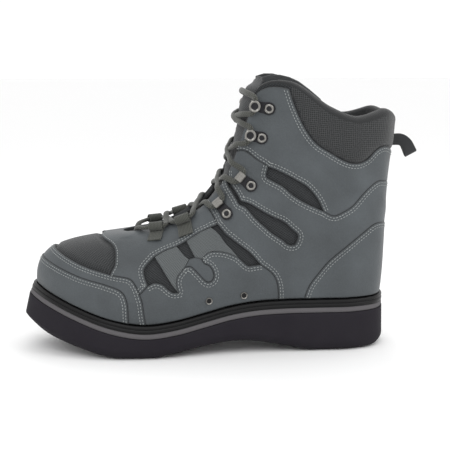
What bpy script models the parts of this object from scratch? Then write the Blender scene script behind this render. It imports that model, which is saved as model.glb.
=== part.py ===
"""Left wading boot: lace-up, mid height, on a thick sole with a flat bottom.

Frame: metres, +X toward the toe, +Y toward the outer side, +Z up. The origin is the middle of
the heel's flat tread spot, on the floor. Every section table goes from the toe tip to the middle
of the heel, and its lengths are shares of the named sizes.
"""
import math
from collections import namedtuple

import bpy
import numpy as np
from mathutils import Vector
from mathutils.geometry import delaunay_2d_cdt

# Driving sizes
SOLE_LENGTH = 0.3185     # back of the heel to the tip of the toe
BALL_WIDTH = 0.112       # sole across the ball of the foot
HEEL_STACK = 0.0455      # floor to the top of the welt under the heel
SHAFT_HEIGHT = 0.228     # floor to the front top corner of the shaft
SHAFT_WIDTH = 0.088      # shaft across the collar
HEEL_SPOT = 0.045        # sole's back edge to the middle of the heel's tread spot

# Layers and walls
STRIPE_HEIGHT = 0.0048   # light band between block and welt
WELT_HEIGHT = 0.0068
STRIPE_RECESS = 0.0006   # the band lies this far inside the block's side
# How far each edge of a layer leans in, as a share of the sole's lean from its widest line to the welt
TREAD_LEAN = 0.6
BLOCK_TOP_LEAN = 0.45
STRIPE_LEANS = (0.48, 0.68)
WELT_LEANS = (0.7, 0.95)
TREAD_EDGE = 0.008       # round along the block's bottom edge
WELT_EDGE = 0.0014       # round along the welt's top edge
WELT_LEDGE = 0.0026      # welt showing outside the upper
UPPER_WALL = 0.0024      # lining, mesh and foam away from the collar
COLLAR_WALL = 0.0115     # padded collar
INSOLE_HEIGHT = 0.004
INSOLE_DRAFT = 0.0025    # its top edge lies this far inside its bottom edge
TONGUE_WALL = 0.0055
SEAT_GAP = 0.0003        # between pieces that lie on each other
TONGUE_GAP = 0.0010      # tongue to the wall that it lies under

# Overlays, and webbing that is sewn on like them
SKIN_DEPTH = 0.0024      # bare upper below the boot's outer skin, which the tables describe
OVERLAY_BACK = -0.0012   # backs of the overlays, measured from that skin
SEAM_GAP = 0.0005        # between the edges of two overlays
CAP_LEATHER = 0.0020
BAND_LEATHER = 0.0014
VAMP_LEATHER = 0.0016
QUARTER_LEATHER = 0.0012
RECESS_LEATHER = 0.0006
SADDLE_LEATHER = 0.0016
SHAFT_LEATHER = 0.0013
COUNTER_LEATHER = 0.0020
STRAP_WEBBING = 0.0012
FOOT_LEVEL = 0.006       # overlays start at this level of the upper, just over the welt
RIM_LEVEL = 0.985        # and stop at this one, below the rounded rim

# Hardware
HARDWARE_GAP = 0.0010    # back of a plate or loop to the overlay
METAL_SHEET = 0.0009
RING_BORE = 0.0028       # radius of the tunnel that the lace runs through
RIVET_RADIUS = 0.0042
RIVET_HEIGHT = 0.0015
LOOP_WEBBING = 0.0012
LOOP_BORE = 0.0028
EYELET_RADIUS = 0.0032
EYELET_BORE = 0.0016
EYELET_HEIGHT = 0.0008
EYELET_GAP = 0.0006

# Lace
LACE_RADIUS = 0.0021
LACE_CLEAR = 0.0013      # lace to tongue, leather and hardware
BAR_BOW = 0.010          # the bottom bar's middle toward the toe of its ends
BAR_CLEAR = 0.0006       # the same for the straight bars
LACE_RISE = 0.0024       # runs end this far outside the middle of the tunnel
LACE_GAP = 0.0047        # end of a lace run to the tunnel that it leads into

# Mesh steps
STEPS_PER_SPAN = 3
SOLE_STEPS = 2
FILL_STEPS = 2
OUTER_LEVELS = (0.0, 0.07, 0.16, 0.28, 0.4, 0.52, 0.64, 0.75, 0.85, 0.93, 1.0)
INNER_LEVELS = (0.0, 0.25, 0.55, 0.75, 0.9, 1.0)
RIM_STEPS = 3
TONGUE_STEPS = 2

# Sole sections: along is a share of SOLE_LENGTH from the heel's back; outer and inner are
# shares of BALL_WIDTH from the boot's axis; welt (its top) and tread (the bottom) are shares
# of HEEL_STACK above the floor, and a tread below it is cut flat; lean is how far the welt's
# edge stands behind the block's widest line, as a share of HEEL_STACK.
SoleRow = namedtuple("SoleRow", "along outer inner welt tread lean")
SOLE_ROWS = (
    SoleRow(1.000, -0.098, 0.098, 1.325, 0.48, 0.190),
    SoleRow(0.986, 0.062, 0.265, 1.295, 0.46, 0.180),
    SoleRow(0.939, 0.248, 0.405, 1.175, 0.34, 0.145),
    SoleRow(0.861, 0.393, 0.469, 0.960, 0.18, 0.085),
    SoleRow(0.767, 0.491, 0.487, 0.745, 0.02, 0.045),
    SoleRow(0.672, 0.509, 0.433, 0.635, -0.03, 0.028),
    SoleRow(0.590, 0.491, 0.362, 0.690, 0.07, 0.022),
    SoleRow(0.508, 0.451, 0.308, 0.815, 0.18, 0.022),
    SoleRow(0.442, 0.415, 0.290, 0.915, 0.23, 0.022),
    SoleRow(0.375, 0.388, 0.290, 0.975, 0.21, 0.022),
    SoleRow(0.290, 0.371, 0.321, 1.000, 0.10, 0.022),
    SoleRow(0.196, 0.362, 0.353, 1.000, -0.02, 0.022),
    SoleRow(0.104, 0.348, 0.344, 1.000, -0.02, 0.022),
    SoleRow(0.028, 0.236, 0.236, 1.005, 0.01, 0.020),
    SoleRow(0.000, 0.000, 0.000, 1.010, 0.03, 0.018),
)

# Upper sections: each is a bent line from the welt (its foot comes from the sole) by way of a
# low and a high guide to the top line. Along is a share of SOLE_LENGTH, up of SHAFT_HEIGHT,
# flare and half of SHAFT_WIDTH; flare is measured from the foot, half from the ridge line.
# pad is the share of COLLAR_WALL that the wall reaches at the top line.
UpperRow = namedtuple(
    "UpperRow",
    "low_along low_flare low_up high_along high_half high_up top_along top_half top_up pad")
UPPER_ROWS = (
    UpperRow(0.970, 0.000, 0.395, 0.897, 0.000, 0.427, 0.716, 0.000, 0.447, 0.0),
    UpperRow(0.962, 0.023, 0.386, 0.891, 0.095, 0.427, 0.713, 0.057, 0.448, 0.0),
    UpperRow(0.914, 0.057, 0.360, 0.854, 0.210, 0.429, 0.700, 0.108, 0.450, 0.0),
    UpperRow(0.841, 0.068, 0.325, 0.785, 0.330, 0.427, 0.672, 0.148, 0.457, 0.0),
    UpperRow(0.756, 0.074, 0.289, 0.697, 0.398, 0.430, 0.628, 0.182, 0.468, 0.0),
    UpperRow(0.666, 0.074, 0.281, 0.606, 0.409, 0.452, 0.568, 0.216, 0.503, 0.0),
    UpperRow(0.584, 0.068, 0.289, 0.537, 0.398, 0.494, 0.503, 0.256, 0.566, 0.0),
    UpperRow(0.503, 0.057, 0.325, 0.465, 0.381, 0.553, 0.443, 0.295, 0.684, 0.0),
    UpperRow(0.440, 0.040, 0.377, 0.408, 0.364, 0.632, 0.402, 0.335, 0.851, 0.0),
    UpperRow(0.377, 0.028, 0.417, 0.358, 0.364, 0.715, 0.365, 0.375, 0.996, 0.1),
    UpperRow(0.289, 0.040, 0.417, 0.264, 0.386, 0.702, 0.280, 0.455, 1.004, 0.6),
    UpperRow(0.195, 0.057, 0.404, 0.169, 0.386, 0.649, 0.179, 0.494, 0.904, 1.0),
    UpperRow(0.107, 0.063, 0.395, 0.082, 0.375, 0.623, 0.095, 0.483, 0.866, 1.0),
    UpperRow(0.022, 0.051, 0.373, 0.027, 0.255, 0.614, 0.004, 0.345, 0.892, 1.0),
    UpperRow(-0.005, 0.000, 0.351, 0.011, 0.000, 0.614, -0.033, 0.000, 0.864, 1.1),
)
RIDGE_SWING = 0.012      # the toe's middle lies this far to the inner side of the heel's
RIDGE_START = 0.41       # share of SOLE_LENGTH where the ridge line leaves the axis
PAD_START = 0.60         # level on the upper where the collar's padding begins
PAD_FULL = 0.90

# Tongue rows: edge is the section of the throat's edge that the row passes under, and edge_level
# its level; wing and wing_level are where the row ends under the wall; rise, a share of
# TONGUE_CROWN, is how far its middle stands forward; thin takes that share off both faces.
TongueRow = namedtuple("TongueRow", "edge edge_level wing wing_level rise lift thin")
TONGUE_ROWS = (
    TongueRow(0.5, 0.92, 1.6, 0.88, 0.0, 0.0, 0.25),
    TongueRow(1.4, 1.00, 2.0, 0.86, 0.3, 0.0, 0.0),
    TongueRow(2.6, 1.00, 2.8, 0.85, 0.5, 0.0, 0.0),
    TongueRow(3.6, 1.00, 3.6, 0.84, 0.7, 0.0, 0.0),
    TongueRow(4.7, 1.00, 4.6, 0.84, 0.8, 0.0, 0.0),
    TongueRow(5.8, 1.00, 5.9, 0.83, 0.9, 0.0, 0.0),
    TongueRow(6.8, 1.00, 7.2, 0.83, 1.0, 0.0, 0.0),
    TongueRow(7.6, 1.00, 8.4, 0.84, 1.0, 0.0, 0.0),
    TongueRow(8.3, 1.00, 9.4, 0.87, 1.0, 0.0, 0.0),
    TongueRow(8.8, 1.00, 10.2, 0.92, 0.9, 0.0, 0.0),
    TongueRow(9.1, 1.00, 10.7, 0.98, 0.6, 0.3, 0.0),
    TongueRow(9.1, 1.00, 10.7, 0.98, 0.2, 1.0, 0.25),
)
# Seams on the outer side, as (section, level) places on the upper; the inner side mirrors them.
SEAMS = {
    "cap_edge": ((0, 0.31), (0.95, 0.30), (2.78, 0.28), (3.65, 0.29), (4.17, 0.26), (4.42, 0.16),
                 (4.53, 0.0)),
    "band_edge": ((0, 0.49), (1.3, 0.455), (2.68, 0.40), (3.68, 0.39)),
    "band_vamp": ((3.68, 0.39), (4.25, 0.38), (4.55, 0.31), (4.70, 0.25)),
    "band_quarter": ((4.70, 0.25), (4.85, 0.17), (5.03, 0.0)),
    "vamp_front": ((0, 0.88), (1.5, 0.83), (3.05, 0.70), (3.62, 0.52), (3.68, 0.39)),
    "vamp_quarter": ((4.70, 0.25), (4.87, 0.32)),
    "vamp_window": ((4.87, 0.32), (4.62, 0.43), (4.60, 0.49), (4.75, 0.57)),
    "vamp_strap_1": ((4.75, 0.57), (5.05, 0.61), (5.43, 0.62)),
    "vamp_window_2": ((5.43, 0.62), (5.78, 0.635)),
    "vamp_strap_2": ((5.78, 0.635), (6.20, 0.65), (6.68, 0.63)),
    "vamp_window_4": ((6.68, 0.63), (6.97, 0.61)),
    "vamp_rear": ((6.97, 0.61), (6.45, 0.80), (6.0, RIM_LEVEL)),
    "window_strap_1": ((4.75, 0.57), (5.35, 0.40), (5.75, 0.29), (5.98, 0.23)),
    "strap_1_quarter": ((5.98, 0.23), (5.84, 0.30), (5.83, 0.36), (6.0, 0.41)),
    "strap_1_recess": ((6.0, 0.41), (6.10, 0.465)),
    "strap_1_rear": ((6.10, 0.465), (5.88, 0.51), (5.43, 0.62)),
    "strap_2_front": ((5.78, 0.635), (6.08, 0.54), (6.32, 0.46)),
    "strap_2_recess": ((6.32, 0.46), (6.60, 0.42)),
    "strap_2_quarter": ((6.60, 0.42), (6.75, 0.44), (7.0, 0.43), (7.53, 0.37), (8.25, 0.28)),
    "strap_2_rear": ((8.25, 0.28), (8.05, 0.32), (7.55, 0.42), (7.15, 0.52), (6.68, 0.63)),
    "recess_quarter": ((6.0, 0.41), (6.23, 0.40), (6.53, 0.33), (6.90, 0.24), (7.10, 0.225),
                       (7.20, 0.245), (7.13, 0.29), (6.95, 0.34), (6.72, 0.38), (6.60, 0.42)),
    "window_1_low": ((4.87, 0.32), (5.05, 0.34), (5.33, 0.32), (5.60, 0.27), (5.78, 0.24), (5.98, 0.23)),
    "window_4_low": ((8.25, 0.28), (8.70, 0.21), (8.95, 0.20), (9.20, 0.20)),
    "window_4_top": ((6.97, 0.61), (7.50, 0.48), (8.18, 0.36), (8.80, 0.27), (9.20, 0.20)),
    "quarter_rear": ((9.20, 0.20), (9.58, 0.15), (9.75, 0.09), (9.80, 0.0)),
    "counter_edge": ((14, 0.47), (13.15, 0.47), (12.65, 0.46), (12.25, 0.41), (11.75, 0.33),
                     (11.25, 0.24), (10.90, 0.15), (10.68, 0.08), (10.55, 0.0)),
    "saddle_back": ((14, 0.69), (13.15, 0.69), (12.70, 0.69), (12.43, 0.67), (12.15, 0.63),
                    (11.83, 0.56), (11.55, 0.52), (11.25, 0.49), (10.93, 0.505)),
    "window_6_low": ((10.93, 0.505), (10.73, 0.51), (10.35, 0.52), (10.03, 0.54), (9.75, 0.57),
                     (9.45, 0.59), (9.28, 0.61), (9.33, 0.65)),
    "window_6_top": ((10.93, 0.505), (10.78, 0.55), (10.60, 0.58), (10.40, 0.60), (10.12, 0.61),
                     (9.73, 0.63), (9.33, 0.65)),
    "saddle_shaft": ((9.33, 0.65), (8.78, 0.72), (7.83, 0.91), (7.53, RIM_LEVEL)),
    "slit_rear": ((7.04, RIM_LEVEL), (7.17, 0.88), (7.56, 0.745), (8.12, 0.59)),
    "window_5": ((8.12, 0.59), (8.40, 0.55), (9.05, 0.47), (9.50, 0.43), (9.83, 0.41), (10.08, 0.38),
                 (10.25, 0.36), (10.28, 0.34), (10.25, 0.32), (10.18, 0.30), (10.0, 0.30),
                 (9.83, 0.32), (9.53, 0.35), (9.30, 0.38), (8.95, 0.43), (8.50, 0.51), (8.05, 0.58)),
    "slit_front": ((8.05, 0.58), (7.50, 0.735), (7.12, 0.87), (6.98, RIM_LEVEL)),
    "collar_edge": ((9.93, RIM_LEVEL), (10.05, 0.93), (10.30, 0.86), (10.60, 0.82), (11.03, 0.81),
                    (11.53, 0.79), (11.88, 0.79), (12.23, 0.81), (12.53, 0.85), (12.83, 0.86),
                    (13.43, 0.85), (14, 0.85)),
}
PACE = np.array([0.022, 0.18])   # about one section and the whole height, in metres
SEAM_STEP = 0.010        # between the places worked out along a seam
FILL_MARGIN = 0.0028     # inner places stay this far from an outline

# Rings and hooks: the rivet's place on the upper, the place that the plate points to, how far
# the sheet curls round in degrees, its half width at the curl.
Keeper = namedtuple("Keeper", "name height u v aim_u aim_v curl half")
METAL_KEEPERS = (
    Keeper("lace_ring_3", SADDLE_LEATHER, 7.40, 0.61, 6.85, 0.77, 300, 0.0040),
    Keeper("lace_ring_4", SADDLE_LEATHER, 8.72, 0.59, 8.03, 0.72, 300, 0.0040),
    Keeper("lace_hook_5", SHAFT_LEATHER, 9.15, 0.77, 8.62, 0.83, 215, 0.0042),
    Keeper("lace_hook_6", SHAFT_LEATHER, 9.38, 0.89, 8.88, 0.93, 215, 0.0042),
)
WEBBING_KEEPERS = (
    Keeper("lace_loop_1", VAMP_LEATHER, 4.40, 0.80, 4.22, 0.91, 300, 0.0062),
    Keeper("lace_loop_2", VAMP_LEATHER, 5.58, 0.75, 5.32, 0.88, 300, 0.0066),
)
METAL_ROOT = ((-0.0054, 0.0030), (-0.0038, 0.0048), (0.0036, 0.0050))
WEBBING_ROOT = ((-0.004, 0.0058), (0.0, 0.0060))
CURL_STEPS = 7
DISC_SIDES = 8
DISC_EDGE = 0.55          # top of a head's straight edge, as a share of its height
DISC_CREST = 0.78         # its flat top, as a share of its radius
SPREAD_CLEAR = 0.4        # more room under a widened bar, as a share of its widening
ARM_START = 0.28          # first section of a crossing's arm as a share of its length, at least
CORNER_OUT = 0.8          # corners between a crossing's arms, in lace radii
CORNER_HIGH = 0.85
BAR_SHARES = (0.0, 0.15, 0.32, 0.5, 0.68, 0.85, 1.0)
LACE_SECTION = ((-0.5, -0.87), (-1.0, 0.0), (-0.5, 0.87), (0.5, 0.87), (1.0, 0.0), (0.5, -0.87))
DRAIN_EYELETS = ((7.10, 0.09), (8.60, 0.05))

# Pull loop from the collar's back to its free end: back and down from its root, half of the
# webbing's width there, the direction of that width, and both plies' thickness.
PullRow = namedtuple("PullRow", "back down half tilt thick")
PULL_ROWS = (
    PullRow(-0.0014, 0.0, 0.0048, 0.0, 0.0034),
    PullRow(0.0075, 0.0, 0.0052, 8.0, 0.0040),
    PullRow(0.0125, 0.004, 0.0056, 40.0, 0.0052),
    PullRow(0.0160, 0.011, 0.0058, 62.0, 0.0048),
)
PULL_ROOT = 0.905        # its level on the upper
PULL_LEAN = 0.15         # its way to the outer side as a share of its drop

TONGUE_CROWN = 0.007     # middle of the tongue forward of the throat's edges
TONGUE_TOP = 0.007       # tongue standing above the shaft's top

SPANS = len(SOLE_ROWS) - 1


def remove_everything():
    for obj in list(bpy.data.objects):
        bpy.data.objects.remove(obj, do_unlink=True)


def material(name, colour, roughness, metallic=0.0):
    mat = bpy.data.materials.new(name)
    mat.use_nodes = True
    shader = mat.node_tree.nodes["Principled BSDF"]
    shader.inputs["Base Color"].default_value = (*colour, 1.0)
    shader.inputs["Roughness"].default_value = roughness
    shader.inputs["Metallic"].default_value = metallic
    return mat


def add_object(name, verts, faces, mat):
    mesh = bpy.data.meshes.new(name)
    mesh.from_pydata([tuple(map(float, v)) for v in verts], [], faces)
    mesh.materials.append(mat)
    mesh.shade_smooth()
    mesh.set_sharp_from_angle(angle=math.radians(40))
    obj = bpy.data.objects.new(name, mesh)
    bpy.context.scene.collection.objects.link(obj)
    return obj


def smooth_lookup(xs, ys, x):
    """Cubic through the points, with the slopes of their neighbours."""
    xs = np.asarray(xs, float)
    ys = np.asarray(ys, float)
    slopes = np.gradient(ys, xs)
    x = np.clip(x, xs[0], xs[-1])
    i = np.clip(np.searchsorted(xs, x) - 1, 0, len(xs) - 2)
    h = xs[i + 1] - xs[i]
    t = (x - xs[i]) / h
    return ((2 * t**3 - 3 * t**2 + 1) * ys[i] + (t**3 - 2 * t**2 + t) * h * slopes[i]
            + (3 * t**2 - 2 * t**3) * ys[i + 1] + (t**3 - t**2) * h * slopes[i + 1])


def smooth_step(t):
    t = np.clip(t, 0.0, 1.0)
    return t * t * (3 - 2 * t)


def loop_curve(points, u):
    """Closed Catmull-Rom curve; u counts its points, and may run past the ends."""
    points = np.asarray(points, float)
    n = len(points)
    i = np.floor(u).astype(int)
    t = (u - i)[..., None]
    p0, p1, p2, p3 = (points[(i + k) % n] for k in (-1, 0, 1, 2))
    return 0.5 * (2 * p1 + (p2 - p0) * t + (2 * p0 - 5 * p1 + 4 * p2 - p3) * t**2
                  + (3 * p1 - p0 - 3 * p2 + p3) * t**3)


def both_sides(rows, place):
    """One closed loop: toe, outer side, heel, inner side. place(index, row, side) is a point."""
    last = len(rows) - 1
    outer = [place(i, rows[i], 1) for i in range(1, last)]
    inner = [place(i, rows[i], -1) for i in range(last - 1, 0, -1)]
    return np.array([place(0, rows[0], 0), *outer, place(last, rows[last], 0), *inner])


def along_to_x(share):
    return share * SOLE_LENGTH - HEEL_SPOT


def sole_profile(column, x):
    """Height of the welt's top or the tread, or the lean, at a place along the boot."""
    rows = SOLE_ROWS[::-1]
    return HEEL_STACK * smooth_lookup(
        [along_to_x(r.along) for r in rows], [getattr(r, column) for r in rows], x)


def outline_point(index, row, side):
    y = {1: row.outer, -1: -row.inner, 0: row.outer}[side] * BALL_WIDTH
    return along_to_x(row.along), y


OUTLINE = both_sides(SOLE_ROWS, outline_point)


def outline_inset(u, inset):
    """Places on the sole's outline in plan, moved inward."""
    step = 0.01
    here = loop_curve(OUTLINE, u)
    way = loop_curve(OUTLINE, u + step) - loop_curve(OUTLINE, u - step)
    way /= np.linalg.norm(way, axis=-1, keepdims=True)
    inward = np.stack([-way[..., 1], way[..., 0]], axis=-1)
    return here + inward * np.asarray(inset)[..., None]


def around(steps):
    return np.arange(2 * SPANS * steps) / steps


def sole_ring(inset, height):
    """One level of a sole layer; height(x) gives its z."""
    u = around(SOLE_STEPS)
    lean = sole_profile("lean", outline_inset(u, 0.0)[:, 0])
    plan = outline_inset(u, inset(lean))
    return np.column_stack([plan, height(plan[:, 0])])


def stack_rings(rings):
    """Side walls between rings from the bottom up, closed below and above by cross strips."""
    n = len(rings[0])
    verts = np.vstack(rings)
    faces = []
    for level in range(len(rings) - 1):
        low = level * n
        for i in range(n):
            j = (i + 1) % n
            faces.append((low + i, low + j, low + n + j, low + n + i))
    top = (len(rings) - 1) * n
    for i in range(n // 2):
        strip = tuple(dict.fromkeys((i, i + 1, (n - i - 1) % n, (n - i) % n)))
        faces.append(strip[::-1])
        faces.append(tuple(top + k for k in strip))
    return verts, faces


def tread(x):
    return np.maximum(sole_profile("tread", x), 0.0)


def welt_top(x):
    return sole_profile("welt", x)


def layer_lean(share):
    """Inset of a level whose height is a share of the way from the widest line to the welt."""
    return lambda lean: lean * share


def make_sole(mats):
    block_top = lambda x: welt_top(x) - WELT_HEIGHT - STRIPE_HEIGHT
    corner = 1 - math.sqrt(0.5)
    add_object("outsole", *stack_rings([
        sole_ring(lambda lean: TREAD_EDGE + lean * TREAD_LEAN, tread),
        sole_ring(lambda lean: (TREAD_EDGE + lean * TREAD_LEAN) * corner,
                  lambda x: tread(x) + TREAD_EDGE * corner),
        sole_ring(layer_lean(0.0), lambda x: tread(x) + TREAD_EDGE),
        sole_ring(layer_lean(BLOCK_TOP_LEAN), block_top),
    ]), mats["outsole"])
    stripe_low = lambda x: block_top(x) + SEAT_GAP
    stripe_high = lambda x: welt_top(x) - WELT_HEIGHT
    add_object("midsole_stripe", *stack_rings([
        sole_ring(lambda lean: lean * STRIPE_LEANS[0] + STRIPE_RECESS, stripe_low),
        sole_ring(lambda lean: lean * STRIPE_LEANS[1] + STRIPE_RECESS, stripe_high),
    ]), mats["midsole_stripe"])
    add_object("welt", *stack_rings([
        sole_ring(layer_lean(WELT_LEANS[0]), lambda x: stripe_high(x) + SEAT_GAP),
        sole_ring(layer_lean(WELT_LEANS[1]), lambda x: welt_top(x) - WELT_EDGE),
        sole_ring(lambda lean: lean + WELT_EDGE, welt_top),
    ]), mats["welt"])
    wall_side = lambda lean: lean + WELT_LEDGE + SKIN_DEPTH + UPPER_WALL + 2 * SEAT_GAP
    add_object("insole", *stack_rings([
        sole_ring(wall_side, lambda x: welt_top(x) + SEAT_GAP),
        sole_ring(lambda lean: wall_side(lean) + INSOLE_DRAFT,
                  lambda x: welt_top(x) + SEAT_GAP + INSOLE_HEIGHT),
    ]), mats["insole"])


def ridge(x):
    """The last's middle line in plan, which swings to the inner side at the toe."""
    start = along_to_x(RIDGE_START)
    return -RIDGE_SWING * np.clip((x - start) / (along_to_x(1.0) - start), 0.0, 1.0) ** 1.3


def foot_point(index, row, side):
    u = {1: index, -1: 2 * SPANS - index, 0: index}[side]
    inset = row.lean * HEEL_STACK + WELT_LEDGE
    return tuple(outline_inset(np.array([float(u)]), np.array([inset]))[0])


FOOT = both_sides(SOLE_ROWS, foot_point)


def guide_point(name):
    def place(index, row, side):
        x = along_to_x(getattr(row, name + "_along"))
        z = getattr(row, name + "_up") * SHAFT_HEIGHT
        if name == "low":
            foot_y = FOOT[index if side >= 0 else 2 * SPANS - index][1]
            return x, foot_y + side * row.low_flare * SHAFT_WIDTH, z
        half = getattr(row, name + "_half") * SHAFT_WIDTH
        return x, ridge(x) + side * half, z
    return both_sides(UPPER_ROWS, place)


LOW = guide_point("low")
HIGH = guide_point("high")
TOP = guide_point("top")
PAD = both_sides(UPPER_ROWS, lambda index, row, side: (row.pad,))


def upper_point(u, v):
    """The boot's outer skin: u counts sections round the boot, v goes from welt to top."""
    u, v = np.broadcast_arrays(np.asarray(u, float), np.clip(v, 0.0, 1.0))
    plan = loop_curve(FOOT, u)
    foot = np.concatenate([plan, (welt_top(plan[..., 0]) + SEAT_GAP)[..., None]], axis=-1)
    low, high, top = (loop_curve(guide, u) for guide in (LOW, HIGH, TOP))
    t = v[..., None]
    return (foot * (1 - t)**3 + 3 * low * (1 - t)**2 * t + 3 * high * (1 - t) * t**2 + top * t**3)


def upper_normal(u, v):
    step = 0.004
    u, v = np.broadcast_arrays(np.asarray(u, float), np.clip(v, step, 1.0 - step))
    side = upper_point(u + step, v) - upper_point(u - step, v)
    rise = upper_point(u, v + step) - upper_point(u, v - step)
    out = np.cross(side, rise)
    return out / np.linalg.norm(out, axis=-1, keepdims=True)


def wall_at(u, v):
    pad = np.clip(loop_curve(PAD, np.asarray(u, float))[..., 0], 0.0, 1.0)
    padded = pad * smooth_step((v - PAD_START) / (PAD_FULL - PAD_START))
    return UPPER_WALL + (COLLAR_WALL - UPPER_WALL) * padded


def upper_outside(u, v):
    """The bare upper's outer surface, under the overlays."""
    return upper_point(u, v) - upper_normal(u, v) * SKIN_DEPTH


def upper_inside(u, v, more=0.0):
    """The upper's inner surface, or a surface that lies a little further in."""
    u, v = np.broadcast_arrays(np.asarray(u, float), np.asarray(v, float))
    return upper_point(u, v) - upper_normal(u, v) * (SKIN_DEPTH + wall_at(u, v) + more)[..., None]


def make_upper(mats):
    u = around(STEPS_PER_SPAN)
    n = len(u)
    rings = [upper_outside(u, level) for level in OUTER_LEVELS]
    rings[0][:, 2] = welt_top(rings[0][:, 0]) + SEAT_GAP
    outer_rim = rings[-1]
    inner_rim = upper_inside(u, 1.0)
    along_wall = outer_rim - upper_outside(u, 0.96)
    along_wall /= np.linalg.norm(along_wall, axis=1, keepdims=True)
    middle = (outer_rim + inner_rim) / 2
    for step in range(1, RIM_STEPS):
        angle = math.pi * step / RIM_STEPS
        swell = np.linalg.norm(outer_rim - inner_rim, axis=1, keepdims=True) * 0.4
        rings.append(middle + (outer_rim - middle) * math.cos(angle) + along_wall * swell * math.sin(angle))
    for level in reversed(INNER_LEVELS):
        rings.append(upper_inside(u, level))
    bottom = rings[-1]
    bottom[:, 2] = welt_top(bottom[:, 0]) + SEAT_GAP
    verts = np.vstack(rings)
    faces = []
    for level in range(len(rings)):
        low = level * n
        high = (level + 1) % len(rings) * n
        for i in range(n):
            j = (i + 1) % n
            faces.append((low + i, low + j, high + j, high + i))
    add_object("upper", verts, faces, mats["upper"])


def tongue_half(row, side, more):
    """Half of a tongue row: from its wing under the wall to the throat's edge."""
    share = np.array([1.0, 0.5, 0.0])
    u = row.edge + (row.wing - row.edge) * share
    v = row.edge_level + (row.wing_level - row.edge_level) * share
    if side < 0:
        u = 2 * SPANS - u
    line = upper_inside(u, v, TONGUE_GAP + more)
    line[:, 2] += row.lift * TONGUE_TOP
    return line


def tongue_face(row, more):
    """One face of a tongue row, from the outer wing to the inner one."""
    outer = tongue_half(row, 1, more)
    inner = tongue_half(row, -1, more)
    left, right = outer[-1], inner[-1]
    forward = (left + right - outer[0] - inner[0]) / 2
    forward[1] = 0.0
    forward /= np.linalg.norm(forward)
    bridge = [left + (right - left) * share
              + forward * row.rise * TONGUE_CROWN * math.sin(math.pi * share)
              for share in (0.25, 0.5, 0.75)]
    return [*outer, *bridge, *inner[::-1]]


def between_rows(rows, steps):
    """The table's rows with others worked out between them."""
    last = len(rows) - 1
    at = np.arange(last * steps + 1) / steps
    columns = [smooth_lookup(range(last + 1), column, at) for column in zip(*rows)]
    return [type(rows[0])(*values) for values in zip(*columns)]


def make_tongue(mats):
    sections = []
    for row in between_rows(TONGUE_ROWS, TONGUE_STEPS):
        skin = row.thin * TONGUE_WALL
        front = tongue_face(row, skin)
        back = tongue_face(row, TONGUE_WALL - skin)
        sections.append(np.array([*front[::-1], *back]))
    add_object("tongue", *loft(sections), mats["tongue"])


def loft(sections):
    """Closed sections joined one to the next, each end closed across between its two faces."""
    n = len(sections[0])
    faces = []
    for level in range(len(sections) - 1):
        low = level * n
        for i in range(n):
            j = (i + 1) % n
            faces.append((low + i, low + j, low + n + j, low + n + i))
    last = (len(sections) - 1) * n
    for i in range(n // 2 - 1):
        strip = (i, i + 1, n - i - 2, n - i - 1)
        faces.append(strip[::-1])
        faces.append(tuple(last + k for k in strip))
    return np.vstack(sections), faces


def seam(name):
    """Smooth run through a seam's places; a name after a minus sign runs the other way."""
    points = np.array(SEAMS[name.lstrip("-")], float)
    spans = np.linalg.norm(np.diff(points, axis=0) * PACE, axis=1)
    steps = np.maximum(1, np.round(spans / SEAM_STEP)).astype(int)
    at = np.concatenate([i + np.arange(count) / count for i, count in enumerate(steps)] + [[len(steps)]])
    places = np.column_stack([smooth_lookup(range(len(points)), column, at) for column in points.T])
    places[:, 1] = np.maximum(places[:, 1], FOOT_LEVEL)
    return places[::-1] if name.startswith("-") else places


def level_run(first, last, level):
    """Places along one level, on the upper's own sections."""
    low, high = sorted((first, last))
    between = np.arange(math.floor(low * STEPS_PER_SPAN) + 1, math.ceil(high * STEPS_PER_SPAN))
    us = np.array([low, *between / STEPS_PER_SPAN, high])
    us = us[::-1] if last < first else us
    return np.column_stack([us, np.full(len(us), level)])


def path(*parts):
    """Seams and runs one after the other, each place once."""
    runs = [seam(part) if isinstance(part, str) else part for part in parts]
    places = [runs[0]]
    for run in runs[1:]:
        places.append(run[1:])
    return np.vstack(places)


def with_mirror(half, middle):
    """An open path that starts and ends on a middle section, closed by its mirror image."""
    other = np.column_stack([2 * middle - half[::-1, 0], half[::-1, 1]])
    return np.vstack([half, other[1:-1]])


def mirror(loop):
    return np.column_stack([2 * SPANS - loop[:, 0], loop[:, 1]])


def is_inside(places, loop):
    x, y = places[:, :1], places[:, 1:]
    x0, y0 = loop.T
    x1, y1 = np.roll(loop, -1, axis=0).T
    crosses = ((y0 > y) != (y1 > y)) & (x < (x1 - x0) * (y - y0) / (y1 - y0 + 1e-12) + x0)
    return crosses.sum(axis=1) % 2 == 1


def fill(loop):
    """Triangles inside an outline, on its own places and the upper's grid."""
    first = math.ceil(loop[:, 0].min() * FILL_STEPS)
    us = np.arange(first, loop[:, 0].max() * FILL_STEPS) / FILL_STEPS
    grid = np.array([(u, v) for u in us for v in OUTER_LEVELS[1:-1]])
    near = np.linalg.norm((grid[:, None] - loop[None]) * PACE, axis=2).min(axis=1)
    grid = grid[is_inside(grid, loop) & (near > FILL_MARGIN)]
    places = np.vstack([loop, grid])
    made = delaunay_2d_cdt([Vector(p * PACE) for p in places], [], [list(range(len(loop)))], 1, 1e-7)
    verts, faces, origins = made[0], made[2], made[3]
    index = {old: new for new, olds in enumerate(origins) for old in olds}
    border = [index[i] for i in range(len(loop))]
    return np.array([tuple(v) for v in verts]) / PACE, [tuple(f) for f in faces], border


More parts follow.
